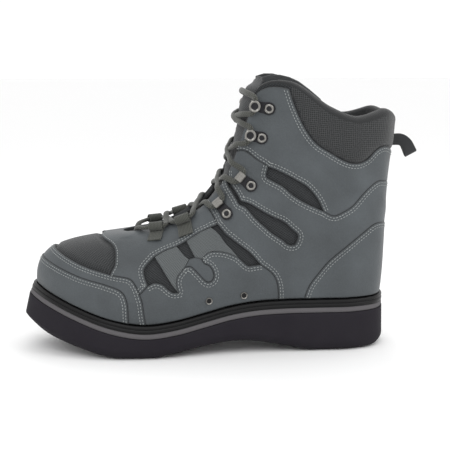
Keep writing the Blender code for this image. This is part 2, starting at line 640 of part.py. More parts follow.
def make_overlay(name, loop, thickness, mat):
    """A panel cut between two offsets of the upper's own surface."""
    x, y = loop.T
    if np.sum(x * np.roll(y, -1) - np.roll(x, -1) * y) < 0:
        loop = loop[::-1]
    places, faces, border = fill(loop)
    points = upper_point(places[:, 0], places[:, 1])
    normals = upper_normal(places[:, 0], places[:, 1])
    edge = points[border]
    way = np.roll(edge, -1, axis=0) - np.roll(edge, 1, axis=0)
    inward = np.cross(normals[border], way)
    points[border] += inward / np.linalg.norm(inward, axis=1, keepdims=True) * SEAM_GAP / 2
    layers = []
    for height in (OVERLAY_BACK, OVERLAY_BACK + thickness):
        layer = points + normals * height
        layer[:, 2] = np.maximum(layer[:, 2], welt_top(layer[:, 0]) + SEAT_GAP)
        layers.append(layer)
    n = len(points)
    solid = [f[::-1] for f in faces] + [tuple(k + n for k in f) for f in faces]
    solid += [(a, b, b + n, a + n) for a, b in zip(border, border[1:] + border[:1])]
    return add_object(name, np.vstack(layers), solid, mat)


def make_overlays(mats):
    leather, webbing = mats["leather"], mats["webbing"]
    cap_end, band_end = (SEAMS[name][-1][0] for name in ("cap_edge", "band_quarter"))
    make_overlay("toe_cap", with_mirror(
        path("cap_edge", level_run(cap_end, 0, FOOT_LEVEL)), 0), CAP_LEATHER, leather)
    band = path("band_edge", "band_vamp", "band_quarter", level_run(band_end, cap_end, FOOT_LEVEL),
                "-cap_edge")
    make_overlay("toe_band", with_mirror(band, 0), BAND_LEATHER, leather)
    vamp_end = SEAMS["vamp_rear"][-1][0]
    vamp = path("vamp_front", "band_vamp", "vamp_quarter", "vamp_window", "vamp_strap_1",
                "vamp_window_2", "vamp_strap_2", "vamp_window_4", "vamp_rear",
                level_run(vamp_end, 0, RIM_LEVEL))
    make_overlay("vamp", with_mirror(vamp, 0), VAMP_LEATHER, leather)
    saddle = path("saddle_back", "window_6_low", "saddle_shaft",
                  level_run(SEAMS["saddle_shaft"][-1][0], SEAMS["slit_rear"][0][0], RIM_LEVEL),
                  "slit_rear", "window_5", "slit_front",
                  level_run(SEAMS["slit_front"][-1][0], vamp_end, RIM_LEVEL),
                  "-vamp_rear", "window_4_top", "quarter_rear",
                  level_run(SEAMS["quarter_rear"][-1][0], SEAMS["counter_edge"][-1][0], FOOT_LEVEL),
                  "-counter_edge")
    make_overlay("saddle", with_mirror(saddle, SPANS), SADDLE_LEATHER, leather)
    shaft = path("-collar_edge",
                 level_run(SEAMS["collar_edge"][0][0], SEAMS["saddle_shaft"][-1][0], RIM_LEVEL),
                 "-saddle_shaft", "-window_6_top", "-saddle_back")
    make_overlay("shaft", with_mirror(shaft, SPANS), SHAFT_LEATHER, leather)
    counter = path("counter_edge", level_run(SEAMS["counter_edge"][-1][0], SPANS, FOOT_LEVEL))
    make_overlay("heel_counter", with_mirror(counter, SPANS), COUNTER_LEATHER, leather)
    quarter = path("vamp_quarter", "window_1_low", "strap_1_quarter", "recess_quarter", "strap_2_quarter",
                   "window_4_low", "quarter_rear",
                   level_run(SEAMS["quarter_rear"][-1][0], band_end, FOOT_LEVEL), "-band_quarter")
    side_panels = (
        ("quarter", quarter, QUARTER_LEATHER, leather),
        ("strap_1", path("window_strap_1", "strap_1_quarter", "strap_1_recess", "strap_1_rear",
                         "-vamp_strap_1"), STRAP_WEBBING, webbing),
        ("strap_2", path("strap_2_front", "strap_2_recess", "strap_2_quarter", "strap_2_rear",
                         "-vamp_strap_2"), STRAP_WEBBING, webbing),
        ("strap_recess", path("-strap_1_recess", "recess_quarter", "-strap_2_recess",
                              np.array([seam("strap_2_front")[-1], seam("strap_1_rear")[0]])),
         RECESS_LEATHER, leather),
    )
    for name, loop, thickness, mat in side_panels:
        make_overlay(name + "_outer", loop[:-1], thickness, mat)
        make_overlay(name + "_inner", mirror(loop[:-1]), thickness, mat)


def keeper_frame(keeper, side):
    """Origin on the overlay, directions along the plate, across it and out, and its length."""
    us = np.array([keeper.u, keeper.aim_u])
    us = us if side > 0 else 2 * SPANS - us
    root, aim = upper_point(us, np.array([keeper.v, keeper.aim_v]))
    out = upper_normal(us.mean(), (keeper.v + keeper.aim_v) / 2)
    toward = aim - root
    length = np.linalg.norm(toward)
    toward = toward - out * toward.dot(out)
    toward /= np.linalg.norm(toward)
    middle = upper_point(us.mean(), (keeper.v + keeper.aim_v) / 2)
    origin = middle - toward * length / 2 + out * (OVERLAY_BACK + keeper.height + HARDWARE_GAP)
    return origin, toward, np.cross(out, toward), out, length


def keeper_middle(keeper, side, bore, sheet):
    """Middle of the tunnel that the lace runs through."""
    origin, toward, _, out, length = keeper_frame(keeper, side)
    return origin + toward * length + out * (sheet + bore)


def make_keeper(name, keeper, side, bore, sheet, root, mat):
    """A strip that lies on the overlay and curls round the lace; root holds its rear stations."""
    origin, toward, across, out, length = keeper_frame(keeper, side)
    radius = bore + sheet / 2
    stations = [(along, sheet / 2, 0.0, half) for along, half in root]
    for step in range(CURL_STEPS + 1):
        turn = math.radians(keeper.curl) * step / CURL_STEPS
        stations.append((length + radius * math.sin(turn), sheet / 2 + radius * (1 - math.cos(turn)),
                         turn, keeper.half))
    verts = []
    for along, high, turn, half in stations:
        for layer in (-sheet / 2, sheet / 2):
            place = (origin + toward * (along - layer * math.sin(turn))
                     + out * (high + layer * math.cos(turn)))
            verts += [place - across * half, place + across * half]
    faces = []
    last = 4 * (len(stations) - 1)
    for low in range(0, last, 4):
        ring = (low, low + 1, low + 3, low + 2)
        for a, b in zip(ring, ring[1:] + ring[:1]):
            faces.append((a, b, b + 4, a + 4))
    faces += [(2, 3, 1, 0), (last, last + 1, last + 3, last + 2)]
    return add_object(name, verts, faces, mat)


def make_disc(name, centre, out, radius, height, bore, mat):
    """A round head, or a washer when it has a bore."""
    side = out.cross(Vector((0, 0, 1))).normalized()
    other = out.cross(side)
    profile = [(radius, 0.0), (radius, height * DISC_EDGE), (radius * DISC_CREST, height)]
    profile += [(bore, height), (bore, 0.0)] if bore else []
    verts = []
    for r, h in profile:
        for step in range(DISC_SIDES):
            turn = 2 * math.pi * step / DISC_SIDES
            verts.append(centre + out * h + (side * math.cos(turn) + other * math.sin(turn)) * r)
    faces = []
    rings = len(profile)
    for ring in range(rings if bore else rings - 1):
        low, high = ring * DISC_SIDES, (ring + 1) % rings * DISC_SIDES
        for i in range(DISC_SIDES):
            j = (i + 1) % DISC_SIDES
            faces.append((low + i, low + j, high + j, high + i))
    if not bore:
        faces.append(tuple(range(DISC_SIDES))[::-1])
        faces.append(tuple((rings - 1) * DISC_SIDES + i for i in range(DISC_SIDES)))
    return add_object(name, verts, faces, mat)


def make_hardware(mats):
    for side, word in ((1, "outer"), (-1, "inner")):
        for keeper in METAL_KEEPERS:
            make_keeper(f"{keeper.name}_{word}", keeper, side, RING_BORE, METAL_SHEET, METAL_ROOT,
                        mats["metal"])
            origin, _, _, out, _ = keeper_frame(keeper, side)
            centre = Vector(origin + out * (METAL_SHEET + SEAT_GAP))
            make_disc(keeper.name.replace("lace", "rivet") + "_" + word, centre, Vector(out),
                      RIVET_RADIUS, RIVET_HEIGHT, 0.0, mats["metal"])
        for keeper in WEBBING_KEEPERS:
            make_keeper(f"{keeper.name}_{word}", keeper, side, LOOP_BORE, LOOP_WEBBING, WEBBING_ROOT,
                        mats["webbing"])
        for number, (u, v) in enumerate(DRAIN_EYELETS, 1):
            u = u if side > 0 else 2 * SPANS - u
            out = upper_normal(u, v)
            centre = upper_point(u, v) + out * (OVERLAY_BACK + QUARTER_LEATHER + EYELET_GAP)
            make_disc(f"drain_eyelet_{number}_{word}", Vector(centre), Vector(out),
                      EYELET_RADIUS, EYELET_HEIGHT, EYELET_BORE, mats["metal"])


def throat_forward(left, right, along):
    """Direction out of the throat between two places on its edges."""
    out = np.cross(along, right - left)
    return out / np.linalg.norm(out)


def lace_bed():
    """Places that a lace must clear: the overlays round the throat and the tongue's front."""
    us, vs = np.meshgrid(np.arange(0.0, 2 * SPANS, 0.1), np.arange(0.6, 1.0, 0.015))
    us, vs = us.ravel(), vs.ravel()
    skin = upper_point(us, vs) + upper_normal(us, vs) * (OVERLAY_BACK + SADDLE_LEATHER)
    front = [tongue_face(row, 0.0) for row in between_rows(TONGUE_ROWS, 6)]
    front = np.array(front)
    between = [front[:, :-1] + (front[:, 1:] - front[:, :-1]) * share for share in (0.0, 0.25, 0.5, 0.75)]
    return np.vstack([skin, *(part.reshape(-1, 3) for part in between)])


def lift_at(place, forward, bed, clear):
    """How far forward a lace must move to lie on the bed; less than nothing means back to it."""
    room = LACE_RADIUS + clear
    away = place - bed
    ahead = away @ forward
    beside = np.linalg.norm(away - ahead[:, None] * forward, axis=1)
    near = beside < room
    return (np.sqrt(room**2 - beside[near]**2) - ahead[near]).max() if near.any() else 0.0


def lifts_along(run, shares, forward, bed, clear):
    """Lift at each share of a run, so that the pieces between them are clear too."""
    fine = np.linspace(0.0, 1.0, 25)
    need = np.array([lift_at(run(t), forward, bed, clear) for t in fine])
    knots = [2 * shares[0] - shares[1], *shares, 2 * shares[-1] - shares[-2]]
    return [need[(fine >= low) & (fine <= high)].max() for low, high in zip(knots, knots[2:])]


def make_crossing(name, ends, bed, mat):
    """Two laces that cross between two rows of hardware, as one body with four arms."""
    low_left, low_right, high_right, high_left = ends
    forward = throat_forward((low_left + high_left) / 2, (low_right + high_right) / 2,
                             high_left + high_right - low_left - low_right)
    middle = np.mean(ends, axis=0)
    ways = [(end - middle) / np.linalg.norm(end - middle) for end in ends]
    narrow = min(math.acos(way.dot(following)) for way, following in zip(ways, ways[1:] + ways[:1])) / 2
    shares, lifts = [], []
    for end in ends:
        start = 1.1 * LACE_RADIUS / math.tan(narrow) / np.linalg.norm(end - middle)
        shares.append([0.0, *np.linspace(max(ARM_START, start), 1.0, 4)])
        arm = lifts_along(lambda t, end=end: middle + (end - middle) * t, shares[-1], forward, bed,
                          LACE_CLEAR)
        lifts.append([max(lift, 0.0) for lift in arm])
    crest = middle + forward * max(arm[0] for arm in lifts)
    verts = []
    for way, following in zip(ways, ways[1:] + ways[:1]):
        out = (way + following) / np.linalg.norm(way + following)
        spread = math.sqrt((1 - way.dot(following)) / 2)
        corner = crest + out * LACE_RADIUS * CORNER_OUT / spread
        verts += [corner + forward * LACE_RADIUS * share for share in (-CORNER_HIGH, 0.0, CORNER_HIGH)]
    faces = [(9, 6, 3, 0), (2, 5, 8, 11)]
    for k, (end, way, places, arm) in enumerate(zip(ends, ways, shares, lifts)):
        before = 3 * ((k - 1) % 4)
        after = 3 * k
        ring = [before, before + 1, before + 2, after + 2, after + 1, after]
        side = np.cross(forward, way)
        side /= np.linalg.norm(side)
        for share, lift in list(zip(places, [*arm[:-1], 0.0]))[1:]:
            place = middle + (end - middle) * share + forward * lift
            first = len(verts)
            verts += [place + side * LACE_RADIUS * across + forward * LACE_RADIUS * high
                      for across, high in LACE_SECTION]
            fresh = list(range(first, first + 6))
            for i in range(6):
                j = (i + 1) % 6
                faces.append((ring[i], fresh[i], fresh[j], ring[j]))
            ring = fresh
        faces.append(tuple(ring[::-1]))
    return add_object(name, verts, faces, mat)


def make_bar(name, left, right, forward, bow, bed, mat, spread=0.0):
    """A lace from side to side; bow is its middle's way off, spread widens its ends for two laces."""
    side = np.cross(forward, right - left)
    side /= np.linalg.norm(side)
    verts = []
    run = lambda t: left + (right - left) * t + bow * math.sin(math.pi * t)**0.5
    lifts = lifts_along(run, BAR_SHARES, forward, bed, BAR_CLEAR + spread * SPREAD_CLEAR)
    for share, lift in zip(BAR_SHARES, [0.0, *lifts[1:-1], 0.0]):
        place = run(share) + forward * lift
        half = LACE_RADIUS + spread * abs(2 * share - 1)
        verts += [place + side * half * across + forward * LACE_RADIUS * high
                  for across, high in LACE_SECTION]
    faces = []
    last = 6 * (len(BAR_SHARES) - 1)
    for low in range(0, last, 6):
        for i in range(6):
            j = (i + 1) % 6
            faces.append((low + i, low + 6 + i, low + 6 + j, low + j))
    faces += [tuple(range(6)), tuple(last + i for i in range(6))[::-1]]
    return add_object(name, verts, faces, mat)


def lace_ends(keeper, side, bore, sheet):
    """Where a lace run stops below and above the tunnel of a ring, hook or loop."""
    _, _, across, out, _ = keeper_frame(keeper, side)
    up = across * (1 if across[2] > 0 else -1)
    middle = keeper_middle(keeper, side, bore, sheet) + out * LACE_RISE
    return middle - up * (keeper.half + LACE_GAP), middle + up * (keeper.half + LACE_GAP)


def make_laces(mats):
    bed = lace_bed()
    rows = []
    for keepers, bore, sheet in ((WEBBING_KEEPERS, LOOP_BORE, LOOP_WEBBING),
                                 (METAL_KEEPERS, RING_BORE, METAL_SHEET)):
        for keeper in keepers:
            rows.append([lace_ends(keeper, side, bore, sheet) for side in (1, -1)])
    for number, (lower, upper) in enumerate(zip(rows, rows[1:]), 1):
        ends = [lower[0][1], lower[1][1], upper[1][0], upper[0][0]]
        name = f"lace_crossing_{number}"
        apart = np.linalg.norm(upper[0][0] - lower[0][1])
        if apart > 4 * LACE_RADIUS:
            make_crossing(name, ends, bed, mats["lace"])
        else:
            left, right = (ends[0] + ends[3]) / 2, (ends[1] + ends[2]) / 2
            forward = throat_forward(left, right, ends[2] + ends[3] - ends[0] - ends[1])
            make_bar(name, left, right, forward, 0.0, bed, mats["lace"], apart / 2)
    bars = (("lace_bar_bottom", rows[0], 0, -BAR_BOW), ("lace_bar_top", rows[-1], 1, 0.0))
    for name, row, end, bow in bars:
        left, right = row[0][end], row[1][end]
        along = row[0][1] + row[1][1] - row[0][0] - row[1][0]
        forward = throat_forward(left, right, along)
        make_bar(name, left, right, forward, along / np.linalg.norm(along) * bow, bed, mats["lace"])


def make_pull_loop(mats):
    """Webbing folded flat at the collar's back, its two plies pressed together."""
    root = upper_point(SPANS, PULL_ROOT)
    sideways = np.array([0.0, 1.0, 0.0])
    verts = []
    for row in PULL_ROWS[::-1]:
        tilt = math.radians(row.tilt)
        width = np.array([-math.sin(tilt), 0.0, math.cos(tilt)]) * row.half
        place = root + np.array([-row.back, row.down * PULL_LEAN, -row.down])
        thick = sideways * (row.thick / 2)
        verts += [place + width + thick, place + width - thick,
                  place - width - thick, place - width + thick]
    faces = []
    last = len(verts) - 4
    for low in range(0, last, 4):
        for i in range(4):
            j = (i + 1) % 4
            faces.append((low + i, low + j, low + 4 + j, low + 4 + i))
    faces += [tuple(range(4))[::-1], tuple(last + i for i in range(4))]
    return add_object("pull_loop", verts, faces, mats["webbing"])


def make_all():
    remove_everything()
    mats = {
        "outsole": material("dark rubber block", (0.032, 0.030, 0.036), 0.75),
        "midsole_stripe": material("grey foam band", (0.115, 0.105, 0.115), 0.7),
        "welt": material("black rubber rand", (0.012, 0.012, 0.014), 0.5),
        "insole": material("footbed foam", (0.06, 0.06, 0.065), 0.9),
        "upper": material("black mesh", (0.03, 0.03, 0.033), 0.85),
        "tongue": material("tongue mesh", (0.04, 0.04, 0.043), 0.85),
        "leather": material("slate grey leather", (0.107, 0.127, 0.133), 0.6),
        "webbing": material("dark webbing", (0.045, 0.05, 0.05), 0.85),
        "lace": material("braided lace", (0.07, 0.072, 0.062), 0.85),
        "metal": material("nickel plate", (0.45, 0.44, 0.43), 0.3, 1.0),
    }
    make_sole(mats)
    make_upper(mats)
    make_tongue(mats)
    make_overlays(mats)
    make_hardware(mats)
    make_laces(mats)
    make_pull_loop(mats)


make_all()
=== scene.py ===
"""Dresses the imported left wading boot: leather panels with their seams, mesh, padded collar,
tongue, sole layers, lace hardware, lace and webbing.

Frame: metres, +X toward the toe, +Y toward the outer side, +Z up. Sections are counted round
the boot from the toe's middle by way of the outer side; levels go from the welt to the top line.
"""

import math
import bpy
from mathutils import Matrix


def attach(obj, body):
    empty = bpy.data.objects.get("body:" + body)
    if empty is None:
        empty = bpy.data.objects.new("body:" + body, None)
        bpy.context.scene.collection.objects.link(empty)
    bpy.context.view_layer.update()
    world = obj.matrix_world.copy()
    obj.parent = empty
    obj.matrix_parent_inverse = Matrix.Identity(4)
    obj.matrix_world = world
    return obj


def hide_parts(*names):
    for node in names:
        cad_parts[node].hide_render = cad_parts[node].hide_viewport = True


bl_info = {
    "name": "Wading boot",
    "version": (1, 0, 0),
    "blender": (4, 5, 0),
    "location": "3D View > Sidebar > Wading boot",
    "description": "Makes the visible pieces of a lace-up wading boot over its packed solids",
    "category": "Object",
}
from collections import namedtuple

import bpy
import numpy as np
from mathutils import Vector
from mathutils.geometry import delaunay_2d_cdt
from mathutils.kdtree import KDTree

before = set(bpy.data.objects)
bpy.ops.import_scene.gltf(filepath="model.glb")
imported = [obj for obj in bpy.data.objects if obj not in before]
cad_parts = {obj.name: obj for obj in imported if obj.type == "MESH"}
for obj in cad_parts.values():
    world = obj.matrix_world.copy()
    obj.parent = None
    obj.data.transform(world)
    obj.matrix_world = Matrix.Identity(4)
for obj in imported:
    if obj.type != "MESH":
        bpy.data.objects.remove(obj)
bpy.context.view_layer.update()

# Driving sizes
SOLE_LENGTH = 0.3185     # back of the heel to the tip of the toe
BALL_WIDTH = 0.112       # sole across the ball of the foot
HEEL_STACK = 0.0455      # floor to the top of the welt under the heel
SHAFT_HEIGHT = 0.228     # floor to the front top corner of the shaft
SHAFT_WIDTH = 0.088      # shaft across the collar
HEEL_SPOT = 0.045        # sole's back edge to the middle of the heel's tread spot

# Layers and walls
STRIPE_HEIGHT = 0.0048   # light band between block and welt
WELT_HEIGHT = 0.0068     # rand over the band
STRIPE_RECESS = 0.0006   # the band lies this far inside the block's side
TREAD_EDGE = 0.008       # round along the block's bottom edge
WELT_LEDGE = 0.0026      # welt showing outside the upper
UPPER_WALL = 0.0024      # lining, mesh and foam away from the collar
COLLAR_WALL = 0.0115     # padded collar
TONGUE_WALL = 0.0055     # padded tongue
SEAT_GAP = 0.0003        # between pieces that lie on each other
TONGUE_GAP = 0.0010      # tongue to the wall that it lies under

# Overlays, and webbing that is sewn on like them; the leathers and webbing are thicknesses
SKIN_DEPTH = 0.0024      # bare upper below the boot's outer skin, which the tables describe
OVERLAY_BACK = -0.0012   # backs of the overlays, measured from that skin
CAP_LEATHER = 0.0020
BAND_LEATHER = 0.0014
VAMP_LEATHER = 0.0016
QUARTER_LEATHER = 0.0012
RECESS_LEATHER = 0.0006
SADDLE_LEATHER = 0.0016
SHAFT_LEATHER = 0.0013
COUNTER_LEATHER = 0.0020
STRAP_WEBBING = 0.0012
FOOT_LEVEL = 0.006       # overlays start at this level of the upper, just over the welt
RIM_LEVEL = 0.985        # and stop at this one, below the rounded rim

# Hardware
METAL_SHEET = 0.0009
RING_BORE = 0.0028       # radius of the tunnel that the lace runs through
LOOP_WEBBING = 0.0012
LOOP_BORE = 0.0028

RING_STEPS = 18          # steps round the curl of a ring or hook
LOOP_STEPS = 22          # and of a webbing loop
CURL_CLEAR = 0.001       # a ring's flat plate ends this far before its curl
CURL_TAPER = 0.28        # share of its width that a curl loses toward its end
TAPER_STEPS = 3          # steps of the curl over which it narrows
LOOP_TAIL = 0.006        # webbing under the leather's edge
LOOP_CLEAR = 0.0015      # its flat part ends this far before its curl
CUP_BACK = 0.0006        # a hook's cup behind the middle of its curl
CUP_FACES_OUT = 0.94     # way that the cup faces, about 20 degrees back from straight out
CUP_FACES_BACK = 0.34
CUP_RISE = 2.8           # and over the tunnel, in sheets

# Lace
LACE_ROOM = 0.0024       # its middle to the leather and to the tongue
LACE_LEAD = 0.0022       # it leaves a ring this far past the ring's edge
LACE_BOW = 0.0015        # a crossing's middle forward of the line between its rings
LACE_OVER = 0.0020       # the upper lace of a crossing over the lower one
LACE_GIRTH = 0.0130      # once round it, for its cloth
BRAID_PITCH = 0.0017     # one strand of the braid
BAR_BOW = 0.010          # the bottom bar's middle toward the toe of its ends
BAR_SINK = -0.012        # and before it is lifted clear of what lies under it
TOP_BAR_BOW = 0.004      # the top bar's middle over its ends
TOP_BAR_PUSH = 0.001     # and forward of them

# Sole sections: along is a share of SOLE_LENGTH from the heel's back; outer and inner are
# shares of BALL_WIDTH from the boot's axis; welt (its top) and tread (the bottom) are shares
# of HEEL_STACK above the floor, and a tread below it is cut flat; lean is how far the welt's
# edge stands behind the block's widest line, as a share of HEEL_STACK.
SoleRow = namedtuple("SoleRow", "along outer inner welt tread lean")
SOLE_ROWS = (
    SoleRow(1.000, -0.098, 0.098, 1.325, 0.48, 0.190),
    SoleRow(0.986, 0.062, 0.265, 1.295, 0.46, 0.180),
    SoleRow(0.939, 0.248, 0.405, 1.175, 0.34, 0.145),
    SoleRow(0.861, 0.393, 0.469, 0.960, 0.18, 0.085),
    SoleRow(0.767, 0.491, 0.487, 0.745, 0.02, 0.045),
    SoleRow(0.672, 0.509, 0.433, 0.635, -0.03, 0.028),
    SoleRow(0.590, 0.491, 0.362, 0.690, 0.07, 0.022),
    SoleRow(0.508, 0.451, 0.308, 0.815, 0.18, 0.022),
    SoleRow(0.442, 0.415, 0.290, 0.915, 0.23, 0.022),
    SoleRow(0.375, 0.388, 0.290, 0.975, 0.21, 0.022),
    SoleRow(0.290, 0.371, 0.321, 1.000, 0.10, 0.022),
    SoleRow(0.196, 0.362, 0.353, 1.000, -0.02, 0.022),
    SoleRow(0.104, 0.348, 0.344, 1.000, -0.02, 0.022),
    SoleRow(0.028, 0.236, 0.236, 1.005, 0.01, 0.020),
    SoleRow(0.000, 0.000, 0.000, 1.010, 0.03, 0.018),
)

# Upper sections: each is a bent line from the welt (its foot comes from the sole) by way of a
# low and a high guide to the top line. Along is a share of SOLE_LENGTH, up of SHAFT_HEIGHT,
# flare and half of SHAFT_WIDTH; flare is measured from the foot, half from the ridge line.
# pad is the share of COLLAR_WALL that the wall reaches at the top line.
UpperRow = namedtuple(
    "UpperRow",
    "low_along low_flare low_up high_along high_half high_up top_along top_half top_up pad")
UPPER_ROWS = (
    UpperRow(0.970, 0.000, 0.395, 0.897, 0.000, 0.427, 0.716, 0.000, 0.447, 0.0),
    UpperRow(0.962, 0.023, 0.386, 0.891, 0.095, 0.427, 0.713, 0.057, 0.448, 0.0),
    UpperRow(0.914, 0.057, 0.360, 0.854, 0.210, 0.429, 0.700, 0.108, 0.450, 0.0),
    UpperRow(0.841, 0.068, 0.325, 0.785, 0.330, 0.427, 0.672, 0.148, 0.457, 0.0),
    UpperRow(0.756, 0.074, 0.289, 0.697, 0.398, 0.430, 0.628, 0.182, 0.468, 0.0),
    UpperRow(0.666, 0.074, 0.281, 0.606, 0.409, 0.452, 0.568, 0.216, 0.503, 0.0),
    UpperRow(0.584, 0.068, 0.289, 0.537, 0.398, 0.494, 0.503, 0.256, 0.566, 0.0),
    UpperRow(0.503, 0.057, 0.325, 0.465, 0.381, 0.553, 0.443, 0.295, 0.684, 0.0),
    UpperRow(0.440, 0.040, 0.377, 0.408, 0.364, 0.632, 0.402, 0.335, 0.851, 0.0),
    UpperRow(0.377, 0.028, 0.417, 0.358, 0.364, 0.715, 0.365, 0.375, 0.996, 0.1),
    UpperRow(0.289, 0.040, 0.417, 0.264, 0.386, 0.702, 0.280, 0.455, 1.004, 0.6),
    UpperRow(0.195, 0.057, 0.404, 0.169, 0.386, 0.649, 0.179, 0.494, 0.904, 1.0),
    UpperRow(0.107, 0.063, 0.395, 0.082, 0.375, 0.623, 0.095, 0.483, 0.866, 1.0),
    UpperRow(0.022, 0.051, 0.373, 0.027, 0.255, 0.614, 0.004, 0.345, 0.892, 1.0),
    UpperRow(-0.005, 0.000, 0.351, 0.011, 0.000, 0.614, -0.033, 0.000, 0.864, 1.1),
)
RIDGE_SWING = 0.012      # the toe's middle lies this far to the inner side of the heel's
RIDGE_START = 0.41       # share of SOLE_LENGTH where the ridge line leaves the axis
PAD_START = 0.60         # level on the upper where the collar's padding begins
PAD_FULL = 0.90

# Tongue rows: edge is the section of the throat's edge that the row passes under, and edge_level
# its level; wing and wing_level are where the row ends under the wall; rise, a share of
# TONGUE_CROWN, is how far its middle stands forward; thin takes that share off both faces.
TongueRow = namedtuple("TongueRow", "edge edge_level wing wing_level rise lift thin")
TONGUE_ROWS = (
    TongueRow(0.5, 0.92, 1.6, 0.88, 0.0, 0.0, 0.25),
    TongueRow(1.4, 1.00, 2.0, 0.86, 0.3, 0.0, 0.0),
    TongueRow(2.6, 1.00, 2.8, 0.85, 0.5, 0.0, 0.0),
    TongueRow(3.6, 1.00, 3.6, 0.84, 0.7, 0.0, 0.0),
    TongueRow(4.7, 1.00, 4.6, 0.84, 0.8, 0.0, 0.0),
    TongueRow(5.8, 1.00, 5.9, 0.83, 0.9, 0.0, 0.0),
    TongueRow(6.8, 1.00, 7.2, 0.83, 1.0, 0.0, 0.0),
    TongueRow(7.6, 1.00, 8.4, 0.84, 1.0, 0.0, 0.0),
    TongueRow(8.3, 1.00, 9.4, 0.87, 1.0, 0.0, 0.0),
    TongueRow(8.8, 1.00, 10.2, 0.92, 0.9, 0.0, 0.0),
    TongueRow(9.1, 1.00, 10.7, 0.98, 0.6, 0.3, 0.0),
    TongueRow(9.1, 1.00, 10.7, 0.98, 0.2, 1.0, 0.25),
)
TONGUE_CROWN = 0.007     # middle of the tongue forward of the throat's edges
TONGUE_TOP = 0.007       # tongue standing above the shaft's top
TONGUE_RIPPLE = 0.0005   # soft waves down its front
TONGUE_SIDE = 0.002      # how far its side edges stand out
TONGUE_DOME = 0.0005     # rise of its closed top
TAPE_ROWS = 6            # rows at its top that are bound with tape

